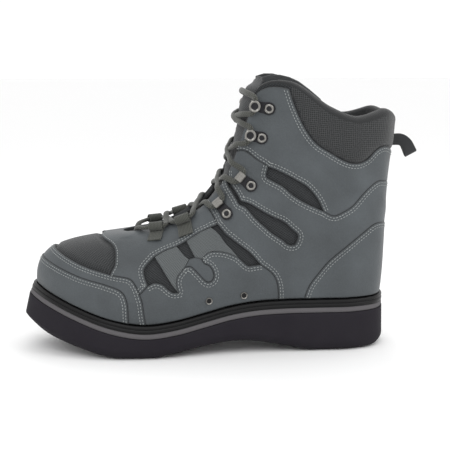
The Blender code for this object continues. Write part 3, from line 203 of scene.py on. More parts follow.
# Seams on the outer side, as (section, level) places on the upper; the inner side mirrors them.
SEAMS = {
    "cap_edge": ((0, 0.31), (0.95, 0.30), (2.78, 0.28), (3.65, 0.29), (4.17, 0.26), (4.42, 0.16),
                 (4.53, 0.0)),
    "band_edge": ((0, 0.49), (1.3, 0.455), (2.68, 0.40), (3.68, 0.39)),
    "band_vamp": ((3.68, 0.39), (4.25, 0.38), (4.55, 0.31), (4.70, 0.25)),
    "band_quarter": ((4.70, 0.25), (4.85, 0.17), (5.03, 0.0)),
    "vamp_front": ((0, 0.88), (1.5, 0.83), (3.05, 0.70), (3.62, 0.52), (3.68, 0.39)),
    "vamp_quarter": ((4.70, 0.25), (4.87, 0.32)),
    "vamp_window": ((4.87, 0.32), (4.62, 0.43), (4.60, 0.49), (4.75, 0.57)),
    "vamp_strap_1": ((4.75, 0.57), (5.05, 0.61), (5.43, 0.62)),
    "vamp_window_2": ((5.43, 0.62), (5.78, 0.635)),
    "vamp_strap_2": ((5.78, 0.635), (6.20, 0.65), (6.68, 0.63)),
    "vamp_window_4": ((6.68, 0.63), (6.97, 0.61)),
    "vamp_rear": ((6.97, 0.61), (6.45, 0.80), (6.0, RIM_LEVEL)),
    "window_strap_1": ((4.75, 0.57), (5.35, 0.40), (5.75, 0.29), (5.98, 0.23)),
    "strap_1_quarter": ((5.98, 0.23), (5.84, 0.30), (5.83, 0.36), (6.0, 0.41)),
    "strap_1_recess": ((6.0, 0.41), (6.10, 0.465)),
    "strap_1_rear": ((6.10, 0.465), (5.88, 0.51), (5.43, 0.62)),
    "strap_2_front": ((5.78, 0.635), (6.08, 0.54), (6.32, 0.46)),
    "strap_2_recess": ((6.32, 0.46), (6.60, 0.42)),
    "strap_2_quarter": ((6.60, 0.42), (6.75, 0.44), (7.0, 0.43), (7.53, 0.37), (8.25, 0.28)),
    "strap_2_rear": ((8.25, 0.28), (8.05, 0.32), (7.55, 0.42), (7.15, 0.52), (6.68, 0.63)),
    "recess_quarter": ((6.0, 0.41), (6.23, 0.40), (6.53, 0.33), (6.90, 0.24), (7.10, 0.225),
                       (7.20, 0.245), (7.13, 0.29), (6.95, 0.34), (6.72, 0.38), (6.60, 0.42)),
    "window_1_low": ((4.87, 0.32), (5.05, 0.34), (5.33, 0.32), (5.60, 0.27), (5.78, 0.24), (5.98, 0.23)),
    "window_4_low": ((8.25, 0.28), (8.70, 0.21), (8.95, 0.20), (9.20, 0.20)),
    "window_4_top": ((6.97, 0.61), (7.50, 0.48), (8.18, 0.36), (8.80, 0.27), (9.20, 0.20)),
    "quarter_rear": ((9.20, 0.20), (9.58, 0.15), (9.75, 0.09), (9.80, 0.0)),
    "counter_edge": ((14, 0.47), (13.15, 0.47), (12.65, 0.46), (12.25, 0.41), (11.75, 0.33),
                     (11.25, 0.24), (10.90, 0.15), (10.68, 0.08), (10.55, 0.0)),
    "saddle_back": ((14, 0.69), (13.15, 0.69), (12.70, 0.69), (12.43, 0.67), (12.15, 0.63),
                    (11.83, 0.56), (11.55, 0.52), (11.25, 0.49), (10.93, 0.505)),
    "window_6_low": ((10.93, 0.505), (10.73, 0.51), (10.35, 0.52), (10.03, 0.54), (9.75, 0.57),
                     (9.45, 0.59), (9.28, 0.61), (9.33, 0.65)),
    "window_6_top": ((10.93, 0.505), (10.78, 0.55), (10.60, 0.58), (10.40, 0.60), (10.12, 0.61),
                     (9.73, 0.63), (9.33, 0.65)),
    "saddle_shaft": ((9.33, 0.65), (8.78, 0.72), (7.83, 0.91), (7.53, RIM_LEVEL)),
    "slit_rear": ((7.04, RIM_LEVEL), (7.17, 0.88), (7.56, 0.745), (8.12, 0.59)),
    "window_5": ((8.12, 0.59), (8.40, 0.55), (9.05, 0.47), (9.50, 0.43), (9.83, 0.41), (10.08, 0.38),
                 (10.25, 0.36), (10.28, 0.34), (10.25, 0.32), (10.18, 0.30), (10.0, 0.30),
                 (9.83, 0.32), (9.53, 0.35), (9.30, 0.38), (8.95, 0.43), (8.50, 0.51), (8.05, 0.58)),
    "slit_front": ((8.05, 0.58), (7.50, 0.735), (7.12, 0.87), (6.98, RIM_LEVEL)),
    "collar_edge": ((9.93, RIM_LEVEL), (10.05, 0.93), (10.30, 0.86), (10.60, 0.82), (11.03, 0.81),
                    (11.53, 0.79), (11.88, 0.79), (12.23, 0.81), (12.53, 0.85), (12.83, 0.86),
                    (13.43, 0.85), (14, 0.85)),
}
PACE = np.array([0.022, 0.18])   # about one section and the whole height, in metres

# Rings, hooks and loops: the leather's thickness under each, its place on the upper, the place
# that it points to, how far the sheet curls round in degrees, its half width at the curl.
Keeper = namedtuple("Keeper", "name height u v aim_u aim_v curl half")
METAL_KEEPERS = (
    Keeper("lace_ring_3", SADDLE_LEATHER, 7.40, 0.61, 6.85, 0.77, 300, 0.0040),
    Keeper("lace_ring_4", SADDLE_LEATHER, 8.72, 0.59, 8.03, 0.72, 300, 0.0040),
    Keeper("lace_hook_5", SHAFT_LEATHER, 9.15, 0.77, 8.62, 0.83, 215, 0.0042),
    Keeper("lace_hook_6", SHAFT_LEATHER, 9.38, 0.89, 8.88, 0.93, 215, 0.0042),
)
WEBBING_KEEPERS = (
    Keeper("lace_loop_1", VAMP_LEATHER, 4.40, 0.80, 4.22, 0.91, 300, 0.0062),
    Keeper("lace_loop_2", VAMP_LEATHER, 5.58, 0.75, 5.32, 0.88, 300, 0.0066),
)
DRAIN_EYELETS = ((7.10, 0.09), (8.60, 0.05))   # section and level

# Pull loop from the collar's back to its free end: back and down from its root, half of the
# webbing's width there, the direction of that width, and both plies' thickness.
PullRow = namedtuple("PullRow", "back down half tilt thick")
PULL_ROWS = (
    PullRow(-0.0014, 0.0, 0.0048, 0.0, 0.0034),
    PullRow(0.0075, 0.0, 0.0052, 8.0, 0.0040),
    PullRow(0.0125, 0.004, 0.0056, 40.0, 0.0052),
    PullRow(0.0160, 0.011, 0.0058, 62.0, 0.0048),
)
PULL_ROOT = 0.905        # its level on the upper
PULL_LEAN = 0.15         # its way to the outer side as a share of its drop

PULL_TAPE = 0.0013       # thickness of its tape
PULL_GAP = 0.0009        # from its middle to each ply at the collar
PULL_SWELL = 0.0010      # and how much more between its ends
PULL_WAVE = 0.8          # share of a half wave that the swell runs through

SPANS = len(SOLE_ROWS) - 1


def smooth_lookup(xs, ys, x):
    """Cubic through the points, with the slopes of their neighbours."""
    xs = np.asarray(xs, float)
    ys = np.asarray(ys, float)
    slopes = np.gradient(ys, xs)
    x = np.clip(x, xs[0], xs[-1])
    i = np.clip(np.searchsorted(xs, x) - 1, 0, len(xs) - 2)
    h = xs[i + 1] - xs[i]
    t = (x - xs[i]) / h
    return ((2 * t**3 - 3 * t**2 + 1) * ys[i] + (t**3 - 2 * t**2 + t) * h * slopes[i]
            + (3 * t**2 - 2 * t**3) * ys[i + 1] + (t**3 - t**2) * h * slopes[i + 1])


def smooth_step(t):
    t = np.clip(t, 0.0, 1.0)
    return t * t * (3 - 2 * t)


def loop_curve(points, u):
    """Closed Catmull-Rom curve; u counts its points, and may run past the ends."""
    points = np.asarray(points, float)
    n = len(points)
    i = np.floor(u).astype(int)
    t = (u - i)[..., None]
    p0, p1, p2, p3 = (points[(i + k) % n] for k in (-1, 0, 1, 2))
    return 0.5 * (2 * p1 + (p2 - p0) * t + (2 * p0 - 5 * p1 + 4 * p2 - p3) * t**2
                  + (3 * p1 - p0 - 3 * p2 + p3) * t**3)


def both_sides(rows, place):
    """One closed loop: toe, outer side, heel, inner side. place(index, row, side) is a point."""
    last = len(rows) - 1
    outer = [place(i, rows[i], 1) for i in range(1, last)]
    inner = [place(i, rows[i], -1) for i in range(last - 1, 0, -1)]
    return np.array([place(0, rows[0], 0), *outer, place(last, rows[last], 0), *inner])


def along_to_x(share):
    return share * SOLE_LENGTH - HEEL_SPOT


def sole_profile(column, x):
    """Height of the welt's top or the tread, or the lean, at a place along the boot."""
    rows = SOLE_ROWS[::-1]
    return HEEL_STACK * smooth_lookup(
        [along_to_x(r.along) for r in rows], [getattr(r, column) for r in rows], x)


def outline_point(index, row, side):
    y = {1: row.outer, -1: -row.inner, 0: row.outer}[side] * BALL_WIDTH
    return along_to_x(row.along), y


OUTLINE = both_sides(SOLE_ROWS, outline_point)


def outline_inset(u, inset):
    """Places on the sole's outline in plan, moved inward."""
    step = 0.01
    here = loop_curve(OUTLINE, u)
    way = loop_curve(OUTLINE, u + step) - loop_curve(OUTLINE, u - step)
    way /= np.linalg.norm(way, axis=-1, keepdims=True)
    inward = np.stack([-way[..., 1], way[..., 0]], axis=-1)
    return here + inward * np.asarray(inset)[..., None]


def tread(x):
    """Height of the sole's underside, cut flat at the floor."""
    return np.maximum(sole_profile("tread", x), 0.0)


def welt_top(x):
    return sole_profile("welt", x)


def ridge(x):
    """The last's middle line in plan, which swings to the inner side at the toe."""
    start = along_to_x(RIDGE_START)
    return -RIDGE_SWING * np.clip((x - start) / (along_to_x(1.0) - start), 0.0, 1.0) ** 1.3


def foot_point(index, row, side):
    u = {1: index, -1: 2 * SPANS - index, 0: index}[side]
    inset = row.lean * HEEL_STACK + WELT_LEDGE
    return tuple(outline_inset(np.array([float(u)]), np.array([inset]))[0])


FOOT = both_sides(SOLE_ROWS, foot_point)


def guide_point(name):
    def place(index, row, side):
        x = along_to_x(getattr(row, name + "_along"))
        z = getattr(row, name + "_up") * SHAFT_HEIGHT
        if name == "low":
            foot_y = FOOT[index if side >= 0 else 2 * SPANS - index][1]
            return x, foot_y + side * row.low_flare * SHAFT_WIDTH, z
        half = getattr(row, name + "_half") * SHAFT_WIDTH
        return x, ridge(x) + side * half, z
    return both_sides(UPPER_ROWS, place)


LOW = guide_point("low")
HIGH = guide_point("high")
TOP = guide_point("top")
PAD = both_sides(UPPER_ROWS, lambda index, row, side: (row.pad,))


def upper_point(u, v):
    """The boot's outer skin: u counts sections round the boot, v goes from welt to top."""
    u, v = np.broadcast_arrays(np.asarray(u, float), np.clip(v, 0.0, 1.0))
    plan = loop_curve(FOOT, u)
    foot = np.concatenate([plan, (welt_top(plan[..., 0]) + SEAT_GAP)[..., None]], axis=-1)
    low, high, top = (loop_curve(guide, u) for guide in (LOW, HIGH, TOP))
    t = v[..., None]
    return (foot * (1 - t)**3 + 3 * low * (1 - t)**2 * t + 3 * high * (1 - t) * t**2 + top * t**3)


def upper_normal(u, v):
    step = 0.004
    u, v = np.broadcast_arrays(np.asarray(u, float), np.clip(v, step, 1.0 - step))
    side = upper_point(u + step, v) - upper_point(u - step, v)
    rise = upper_point(u, v + step) - upper_point(u, v - step)
    out = np.cross(side, rise)
    return out / np.linalg.norm(out, axis=-1, keepdims=True)


def wall_at(u, v):
    """Thickness of the upper's wall, which the collar's padding swells."""
    pad = np.clip(loop_curve(PAD, np.asarray(u, float))[..., 0], 0.0, 1.0)
    padded = pad * smooth_step((v - PAD_START) / (PAD_FULL - PAD_START))
    return UPPER_WALL + (COLLAR_WALL - UPPER_WALL) * padded


def upper_inside(u, v, more=0.0):
    """The upper's inner surface, or a surface that lies a little further in."""
    u, v = np.broadcast_arrays(np.asarray(u, float), np.asarray(v, float))
    return upper_point(u, v) - upper_normal(u, v) * (SKIN_DEPTH + wall_at(u, v) + more)[..., None]


def between_rows(rows, steps):
    """The table's rows with others worked out between them."""
    last = len(rows) - 1
    at = np.arange(last * steps + 1) / steps
    columns = [smooth_lookup(range(last + 1), column, at) for column in zip(*rows)]
    return [type(rows[0])(*values) for values in zip(*columns)]


def linear(hex_colour):
    """sRGB hex to the linear colour that a shader takes."""
    values = [int(hex_colour[i:i + 2], 16) / 255 for i in (0, 2, 4)]
    return (*(v / 12.92 if v <= 0.04045 else ((v + 0.055) / 1.055) ** 2.4 for v in values), 1.0)


def unit(vector):
    return vector / np.linalg.norm(vector)


def add_node(tree, kind, settings, inputs):
    """Adds one node. A tuple of a node and an output name or number links; other values are set."""
    node = tree.nodes.new(kind)
    for name, value in settings.items():
        setattr(node, name, value)
    for key, value in inputs.items():
        if isinstance(value, tuple) and isinstance(value[0], bpy.types.Node):
            tree.links.new(value[0].outputs[value[1]], node.inputs[key])
        else:
            node.inputs[key].default_value = value
    return node


def add_ramp(tree, source, output, low_stop, high_stop):
    """Colour ramp between two stops, each a position and a colour."""
    ramp = add_node(tree, "ShaderNodeValToRGB", {}, {"Fac": (source, output)})
    for element, stop in zip(ramp.color_ramp.elements, (low_stop, high_stop)):
        element.position, element.color = stop
    return ramp


def shaded(colour, factor):
    """The colour made darker or lighter."""
    return (*(c * factor for c in colour[:3]), 1.0)


def start_material(name, roughness, metallic=0.0, ior=1.5):
    mat = bpy.data.materials.new(name)
    mat.use_nodes = True
    shader = mat.node_tree.nodes["Principled BSDF"]
    shader.inputs["Roughness"].default_value = roughness
    shader.inputs["Metallic"].default_value = metallic
    if not metallic:
        shader.inputs["IOR"].default_value = ior
    return mat, mat.node_tree, shader


def nubuck(name, colour):
    """Buffed microfibre leather: matt, a short nap that clouds its tone, edges cut and inked dark."""
    mat, tree, shader = start_material(name, 0.62)
    place = add_node(tree, "ShaderNodeTexCoord", {}, {})
    cloud = add_node(tree, "ShaderNodeTexNoise", {},
                     {"Vector": (place, "Object"), "Scale": 28.0, "Detail": 5.0})
    nap = add_node(tree, "ShaderNodeTexNoise", {},
                     {"Vector": (place, "Object"), "Scale": 850.0, "Detail": 3.0})
    pores = add_node(tree, "ShaderNodeTexVoronoi", {}, {"Vector": (place, "Object"), "Scale": 700.0})
    both = add_node(tree, "ShaderNodeMix", {"data_type": "FLOAT"}, {0: 0.3, 2: (cloud, 0), 3: (nap, 0)})
    tone = add_ramp(tree, both, 0, (0.3, shaded(colour, 0.72)), (0.72, shaded(colour, 1.30)))
    rim = add_node(tree, "ShaderNodeAttribute", {"attribute_name": "rim"}, {})
    inked = add_node(tree, "ShaderNodeMix", {"data_type": "RGBA"},
                     {0: (rim, "Fac"), 6: shaded(colour, 0.32), 7: (tone, 0)})
    tree.links.new(inked.outputs[2], shader.inputs["Base Color"])
    fine = add_node(tree, "ShaderNodeBump", {}, {"Strength": 0.35, "Distance": 0.0003, "Height": (pores, 0)})
    rough = add_node(tree, "ShaderNodeBump", {}, {"Strength": 0.45, "Distance": 0.0004, "Height": (nap, 0),
                                                  "Normal": (fine, 0)})
    wavy = add_node(tree, "ShaderNodeBump", {}, {"Strength": 0.35, "Distance": 0.003, "Height": (cloud, 0),
                                                 "Normal": (rough, 0)})
    tree.links.new(wavy.outputs[0], shader.inputs["Normal"])
    shader.inputs["Sheen Weight"].default_value = 0.12
    shader.inputs["Sheen Roughness"].default_value = 0.5
    return mat


def air_mesh(name, thread, hole, pitch, slant, stretch=1.0):
    """Knitted polyester spacer mesh: matt threads round rows of dark holes, drawn at their true pitch."""
    mat, tree, shader = start_material(name, 0.85)
    cloth = add_node(tree, "ShaderNodeUVMap", {"uv_map": "cloth"}, {})
    laid = add_node(tree, "ShaderNodeMapping", {}, {
        "Vector": (cloth, "UV"), "Rotation": (0.0, 0.0, math.radians(slant)),
        "Scale": (1.0 / pitch, stretch / pitch, 1.0)})
    holes = add_node(tree, "ShaderNodeTexVoronoi", {"voronoi_dimensions": "2D"},
                     {"Vector": (laid, 0), "Scale": 1.0, "Randomness": 0.14})
    fuzz = add_node(tree, "ShaderNodeTexNoise", {}, {"Vector": (laid, 0), "Scale": 6.0, "Detail": 2.0})
    tone = add_ramp(tree, holes, "Distance", (0.26, hole), (0.52, thread))
    shade = add_node(tree, "ShaderNodeMix", {"data_type": "RGBA", "blend_type": "MULTIPLY"},
                     {0: 0.5, 6: (tone, 0), 7: (fuzz, 0)})
    tree.links.new(shade.outputs[2], shader.inputs["Base Color"])
    bump = add_node(tree, "ShaderNodeBump", {},
                    {"Strength": 0.9, "Distance": 0.0006, "Height": (holes, "Distance")})
    tree.links.new(bump.outputs[0], shader.inputs["Normal"])
    shader.inputs["Sheen Weight"].default_value = 0.2
    return mat


def ribbed_webbing(name, dark, light, pitch, slant):
    """Woven polyester webbing: ribs across its length, a herringbone of lighter yarn over them."""
    mat, tree, shader = start_material(name, 0.8)
    cloth = add_node(tree, "ShaderNodeUVMap", {"uv_map": "cloth"}, {})
    laid = add_node(tree, "ShaderNodeMapping", {}, {
        "Vector": (cloth, "UV"), "Rotation": (0.0, 0.0, math.radians(slant)),
        "Scale": (1.0 / pitch, 1.0 / pitch, 1.0)})
    ribs = add_node(tree, "ShaderNodeTexWave", {"wave_type": "BANDS", "bands_direction": "X"},
                    {"Vector": (laid, 0), "Scale": 0.32, "Distortion": 0.6, "Detail Scale": 2.0})
    yarns = add_node(tree, "ShaderNodeTexWave", {"wave_type": "BANDS", "bands_direction": "DIAGONAL"},
                     {"Vector": (laid, 0), "Scale": 0.62, "Distortion": 0.3})
    weave = add_node(tree, "ShaderNodeMix", {"data_type": "FLOAT"}, {0: 0.45, 2: (ribs, 1), 3: (yarns, 1)})
    tone = add_node(tree, "ShaderNodeMix", {"data_type": "RGBA"}, {0: (weave, 0), 6: dark, 7: light})
    tree.links.new(tone.outputs[2], shader.inputs["Base Color"])
    bump = add_node(tree, "ShaderNodeBump", {}, {"Strength": 0.8, "Distance": 0.0005, "Height": (weave, 0)})
    tree.links.new(bump.outputs[0], shader.inputs["Normal"])
    shader.inputs["Sheen Weight"].default_value = 0.15
    return mat


def braid(name, dark, light):
    """Round braided polyester lace: strands that cross each other slantwise, a dull yarn gloss."""
    mat, tree, shader = start_material(name, 0.75)
    cloth = add_node(tree, "ShaderNodeUVMap", {"uv_map": "cloth"}, {})
    laid = add_node(tree, "ShaderNodeMapping", {}, {
        "Vector": (cloth, "UV"), "Rotation": (0.0, 0.0, math.radians(45.0)),
        "Scale": (1.0 / BRAID_PITCH, 1.0 / BRAID_PITCH, 1.0)})
    strands = add_node(tree, "ShaderNodeTexVoronoi", {"voronoi_dimensions": "2D", "distance": "CHEBYCHEV"},
                       {"Vector": (laid, 0), "Scale": 1.0, "Randomness": 0.0})
    yarn = add_node(tree, "ShaderNodeTexNoise", {}, {"Vector": (laid, 0), "Scale": 3.0, "Detail": 2.0})
    speck = add_node(tree, "ShaderNodeMix", {"data_type": "FLOAT"},
                     {0: 0.4, 2: (strands, "Distance"), 3: (yarn, 0)})
    tone = add_ramp(tree, speck, 0, (0.22, light), (0.5, dark))
    tree.links.new(tone.outputs[0], shader.inputs["Base Color"])
    bump = add_node(tree, "ShaderNodeBump", {"invert": True},
                    {"Strength": 0.8, "Distance": 0.0005, "Height": (speck, 0)})
    tree.links.new(bump.outputs[0], shader.inputs["Normal"])
    shader.inputs["Sheen Weight"].default_value = 0.2
    return mat


def moulded_rubber(name, colour, roughness, grain, dusty):
    """Moulded rubber or foam: a fine blasted mould texture and a breath of pale dust on it."""
    mat, tree, shader = start_material(name, roughness, ior=1.52)
    shader.inputs["Specular IOR Level"].default_value = 0.22
    place = add_node(tree, "ShaderNodeTexCoord", {}, {})
    broad = add_node(tree, "ShaderNodeTexNoise", {},
                     {"Vector": (place, "Object"), "Scale": 30.0, "Detail": 6.0})
    blast = add_node(tree, "ShaderNodeTexNoise", {},
                     {"Vector": (place, "Object"), "Scale": 1.0 / grain, "Detail": 2.0})
    dust = (*(c + (0.3 - c) * dusty for c in colour[:3]), 1.0)
    tone = add_ramp(tree, broad, 0, (0.3, colour), (0.75, dust))
    tree.links.new(tone.outputs[0], shader.inputs["Base Color"])
    bump = add_node(tree, "ShaderNodeBump", {}, {"Strength": 0.4, "Distance": 0.0003, "Height": (blast, 0)})
    tree.links.new(bump.outputs[0], shader.inputs["Normal"])
    return mat


def plated_metal(name, colour, roughness):
    """Nickel or gunmetal plate on stamped steel: bright, with faint tumbling marks in its gloss."""
    mat, tree, shader = start_material(name, roughness, 1.0)
    place = add_node(tree, "ShaderNodeTexCoord", {}, {})
    marks = add_node(tree, "ShaderNodeTexNoise", {},
                     {"Vector": (place, "Object"), "Scale": 420.0, "Detail": 3.0})
    gloss = add_node(tree, "ShaderNodeMapRange", {}, {"Value": (marks, 0), "To Min": roughness - 0.08,
                                                      "To Max": roughness + 0.14})
    tree.links.new(gloss.outputs[0], shader.inputs["Roughness"])
    tone = add_node(tree, "ShaderNodeMix", {"data_type": "RGBA"},
                    {0: (marks, 0), 6: shaded(colour, 0.75), 7: colour})
    tree.links.new(tone.outputs[2], shader.inputs["Base Color"])
    return mat


def sewing_thread(name, colour):
    """Bonded nylon thread: pale, slightly glossy, each stitch its own little bead."""
    mat, tree, shader = start_material(name, 0.55)
    place = add_node(tree, "ShaderNodeTexCoord", {}, {})
    wear = add_node(tree, "ShaderNodeTexNoise", {}, {"Vector": (place, "Object"), "Scale": 160.0})
    tone = add_node(tree, "ShaderNodeMix", {"data_type": "RGBA"},
                    {0: (wear, 0), 6: shaded(colour, 0.6), 7: colour})
    tree.links.new(tone.outputs[2], shader.inputs["Base Color"])
    return mat


MATERIALS = {}


def make_materials(colours):
    MATERIALS.update({
        "leather": nubuck("slate microfibre nubuck", tuple(colours.leather)),
        "toe_mesh": air_mesh("toe spacer mesh", linear("3a3d3f"), linear("101113"), 0.0021, 0.0, 1.5),
        "side_mesh": air_mesh("side spacer mesh", linear("2e3235"), linear("0d0e10"), 0.0019, 38.0, 1.2),
        "collar_mesh": air_mesh("collar spacer mesh", linear("404243"), linear("121314"), 0.0017, 4.0),
        "lining": air_mesh("knitted lining", linear("26282a"), linear("121314"), 0.0011, 45.0),
        "webbing": ribbed_webbing(
            "ribbed polyester webbing", linear("15181a"), linear("6f7475"), 0.0020, 55.0),
        "loop_tape": ribbed_webbing(
            "narrow lace loop webbing", linear("151614"), linear("54564f"), 0.0013, 0.0),
        "tape": ribbed_webbing("black polyester tape", linear("17181a"), linear("303234"), 0.0008, 90.0),
        "lace": braid("braided polyester lace", linear("141512"), linear("55574f")),
        "outsole": moulded_rubber("dark rubber block", linear("1e1b21"), 0.88, 0.0009, 0.01),
        "stripe": moulded_rubber("grey foam band", linear("565456"), 0.8, 0.0007, 0.03),
        "welt": moulded_rubber("black rubber rand", linear("0a0a0b"), 0.42, 0.0012, 0.0),
        "nickel": plated_metal("nickel plated steel", linear("8e8c88"), 0.26),
        "gunmetal": plated_metal("gunmetal plated steel", linear("343436"), 0.38),
        "thread": sewing_thread("grey bonded nylon thread", tuple(colours.thread)),
    })


def finish_piece(obj, mats, nodes):
    """Gives a piece its materials, the body it rides and the nodes it stands for."""
    for name in mats:
        obj.data.materials.append(MATERIALS[name])
    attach(obj, "root")
    if nodes:
        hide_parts(*nodes)
    return obj


def new_piece(name, verts, faces, mats, nodes=(), cloth=None, face_mats=None, rim=None, sharp=40.0):
    """One mesh piece at the origin; cloth holds a flat place for each vertex, rim a share."""
    mesh = bpy.data.meshes.new(name)
    mesh.from_pydata(np.asarray(verts, float).tolist(), [], [tuple(map(int, f)) for f in faces])
    corners = np.zeros(len(mesh.loops), int)
    mesh.loops.foreach_get("vertex_index", corners)
    if cloth is not None:
        layer = mesh.uv_layers.new(name="cloth")
        layer.data.foreach_set("uv", np.asarray(cloth, np.float32)[corners].ravel())
    if rim is not None:
        mesh.attributes.new("rim", "FLOAT", "POINT").data.foreach_set("value", np.asarray(rim, np.float32))
    if face_mats is not None:
        mesh.polygons.foreach_set("material_index", np.asarray(face_mats, np.int32))
    mesh.shade_smooth()
    mesh.set_sharp_from_angle(angle=math.radians(sharp))
    obj = bpy.data.objects.new(name, mesh)
    bpy.context.scene.collection.objects.link(obj)
    return finish_piece(obj, mats, nodes)


def grid_faces(rows, columns, closed=True):
    """Quads between rings of points, each ring closed or open."""
    i, j = np.meshgrid(np.arange(rows - 1), np.arange(columns if closed else columns - 1), indexing="ij")
    i, j = i.ravel(), j.ravel()
    k = (j + 1) % columns
    return np.column_stack([i * columns + j, i * columns + k, (i + 1) * columns + k, (i + 1) * columns + j])


# Soft folds of the leather, each from one place on the upper to another: width and height.
Crease = namedtuple("Crease", "u0 v0 u1 v1 width height")
CREASES = (
    Crease(3.3, 0.80, 4.1, 0.52, 0.0050, -0.0007),
    Crease(3.9, 0.84, 4.5, 0.60, 0.0050, 0.0006),
    Crease(4.9, 0.70, 6.3, 0.72, 0.0045, -0.0006),
    Crease(6.3, 0.66, 7.0, 0.78, 0.0050, -0.0006),
    Crease(7.9, 0.62, 8.7, 0.50, 0.0060, 0.0006),
    Crease(9.0, 0.64, 10.2, 0.55, 0.0050, -0.0005),
    Crease(9.4, 0.80, 10.8, 0.66, 0.0080, 0.0009),
    Crease(10.2, 0.78, 11.6, 0.62, 0.0070, -0.0008),
    Crease(11.6, 0.74, 12.4, 0.58, 0.0060, 0.0007),
    Crease(12.3, 0.78, 13.0, 0.66, 0.0060, -0.0006),
    Crease(13.0, 0.60, 13.8, 0.52, 0.0060, 0.0006),
    Crease(9.6, 0.40, 10.6, 0.24, 0.0070, -0.0007),
    Crease(6.9, 0.12, 8.8, 0.10, 0.0080, 0.0004),
    Crease(1.8, 0.14, 3.4, 0.10, 0.0080, -0.0004),
)


def relief(u, v):
    """Height of the soft folds at places on the upper, on both sides of the boot."""
    u = np.mod(np.asarray(u, float), 2 * SPANS)
    u = np.minimum(u, 2 * SPANS - u)
    place = np.stack([u * PACE[0], np.asarray(v, float) * PACE[1]], axis=-1)
    total = np.zeros(place.shape[:-1])
    for crease in CREASES:
        a = np.array([crease.u0, crease.v0]) * PACE
        b = np.array([crease.u1, crease.v1]) * PACE
        share = np.clip((place - a) @ (b - a) / (b - a).dot(b - a), 0.0, 1.0)
        away = np.linalg.norm(place - a - share[..., None] * (b - a), axis=-1)
        total += crease.height * np.exp(-(away / crease.width)**2)
    return total


def skin(u, v, height):
    """Places a given height over the boot's skin, folds included."""
    return upper_point(u, v) + upper_normal(u, v) * (np.asarray(height) + relief(u, v))[..., None]


def seam(name, pace=0.0013):
    """Smooth run through a seam's places; a name after a minus sign runs the other way."""
    points = np.array(SEAMS[name.lstrip("-")], float)
    spans = np.linalg.norm(np.diff(points, axis=0) * PACE, axis=1)
    steps = np.maximum(1, np.round(spans / pace)).astype(int)
    at = np.concatenate([i + np.arange(count) / count for i, count in enumerate(steps)] + [[len(steps)]])
    places = np.column_stack([smooth_lookup(range(len(points)), column, at) for column in points.T])
    places[:, 1] = np.maximum(places[:, 1], FOOT_LEVEL)
    return places[::-1] if name.startswith("-") else places


def level_run(first, last, level, pace=0.06):
    """Places along one level of the upper."""
    count = max(2, round(abs(last - first) / pace))
    return np.column_stack([np.linspace(first, last, count), np.full(count, level)])


def path(*parts):
    """Seams and runs one after the other, each place once."""
    runs = [seam(part) if isinstance(part, str) else part for part in parts]
    return np.vstack([runs[0], *(run[1:] for run in runs[1:])])


def with_mirror(half, middle):
    """An open path that starts and ends on a middle section, closed by its mirror image."""
    other = np.column_stack([2 * middle - half[::-1, 0], half[::-1, 1]])
    return np.vstack([half, other[1:-1]])


def mirror(loop):
    return np.column_stack([2 * SPANS - loop[:, 0], loop[:, 1]])


def turned_left(loop):
    """The loop, with its inside on the left of its way."""
    x, y = loop.T
    return loop if np.sum(x * np.roll(y, -1) - np.roll(x, -1) * y) > 0 else loop[::-1]


def is_inside(places, loop):
    """Whether each place lies inside a closed loop, both as (section, level)."""
    inside = np.zeros(len(places), bool)
    x, y = places.T
    for (x0, y0), (x1, y1) in zip(loop, np.roll(loop, -1, axis=0)):
        if y0 != y1:
            crosses = (y0 > y) != (y1 > y)
            inside ^= crosses & (x < (x1 - x0) * (y - y0) / (y1 - y0) + x0)
    return inside


def moved_left(places, distance, closed):
    """Places moved along the surface to the left of their way, by a distance in metres."""
    if closed:
        way = np.roll(places, -1, axis=0) - np.roll(places, 1, axis=0)
    else:
        way = np.gradient(places, axis=0)
    u, v = places.T
    step = 0.004
    v = np.clip(v, step, 1.0 - step)
    along_u = (upper_point(u + step, v) - upper_point(u - step, v)) / (2 * step)
    along_v = (upper_point(u, v + step) - upper_point(u, v - step)) / (2 * step)
    ahead = along_u * way[:, :1] + along_v * way[:, 1:]
    left = np.cross(upper_normal(u, v), ahead)
    left *= distance / np.linalg.norm(left, axis=1, keepdims=True)
    uu = np.sum(along_u * along_u, axis=1)
    uv = np.sum(along_u * along_v, axis=1)
    vv = np.sum(along_v * along_v, axis=1)
    lu, lv = np.sum(left * along_u, axis=1), np.sum(left * along_v, axis=1)
    size = uu * vv - uv * uv
    return places + np.column_stack([(vv * lu - uv * lv) / size, (uu * lv - uv * lu) / size])


def run_lengths(points):
    """Distance gone at each point of a line, or of each column of a grid."""
    steps = np.linalg.norm(np.diff(points, axis=0), axis=-1)
    return np.concatenate([np.zeros((1, *steps.shape[1:])), np.cumsum(steps, axis=0)])


def cloth_grid(across, along):
    """Flat place of each vertex of a grid, from its ways across and along the cloth."""
    return np.stack(np.broadcast_arrays(across, along), axis=-1).reshape(-1, 2)


def nearest(points, targets):
    """Distance from each point to the nearest target."""
    tree = KDTree(len(targets))
    for i, target in enumerate(targets):
        tree.insert(target, i)
    tree.balance()
    return np.array([tree.find(point)[2] for point in points])


PANEL_RINGS = (0.00015, 0.0005, 0.0011, 0.0019)
PANEL_ROUND = 0.0009     # rounded edge of a panel
PANEL_STEP = 0.0022      # its inner mesh
PANEL_DROP = 0.7         # share of the round by which its edge lies lower
PANEL_CLEAR = 0.0007     # inner mesh to the innermost ring
PANEL_SUNK = 0.0003      # foot of its edge below the bare upper
INK_START = 0.0001       # from its edge to the inner end of the dark ink
INK_WIDTH = 0.0007       # and over which it fades into the leather's own colour


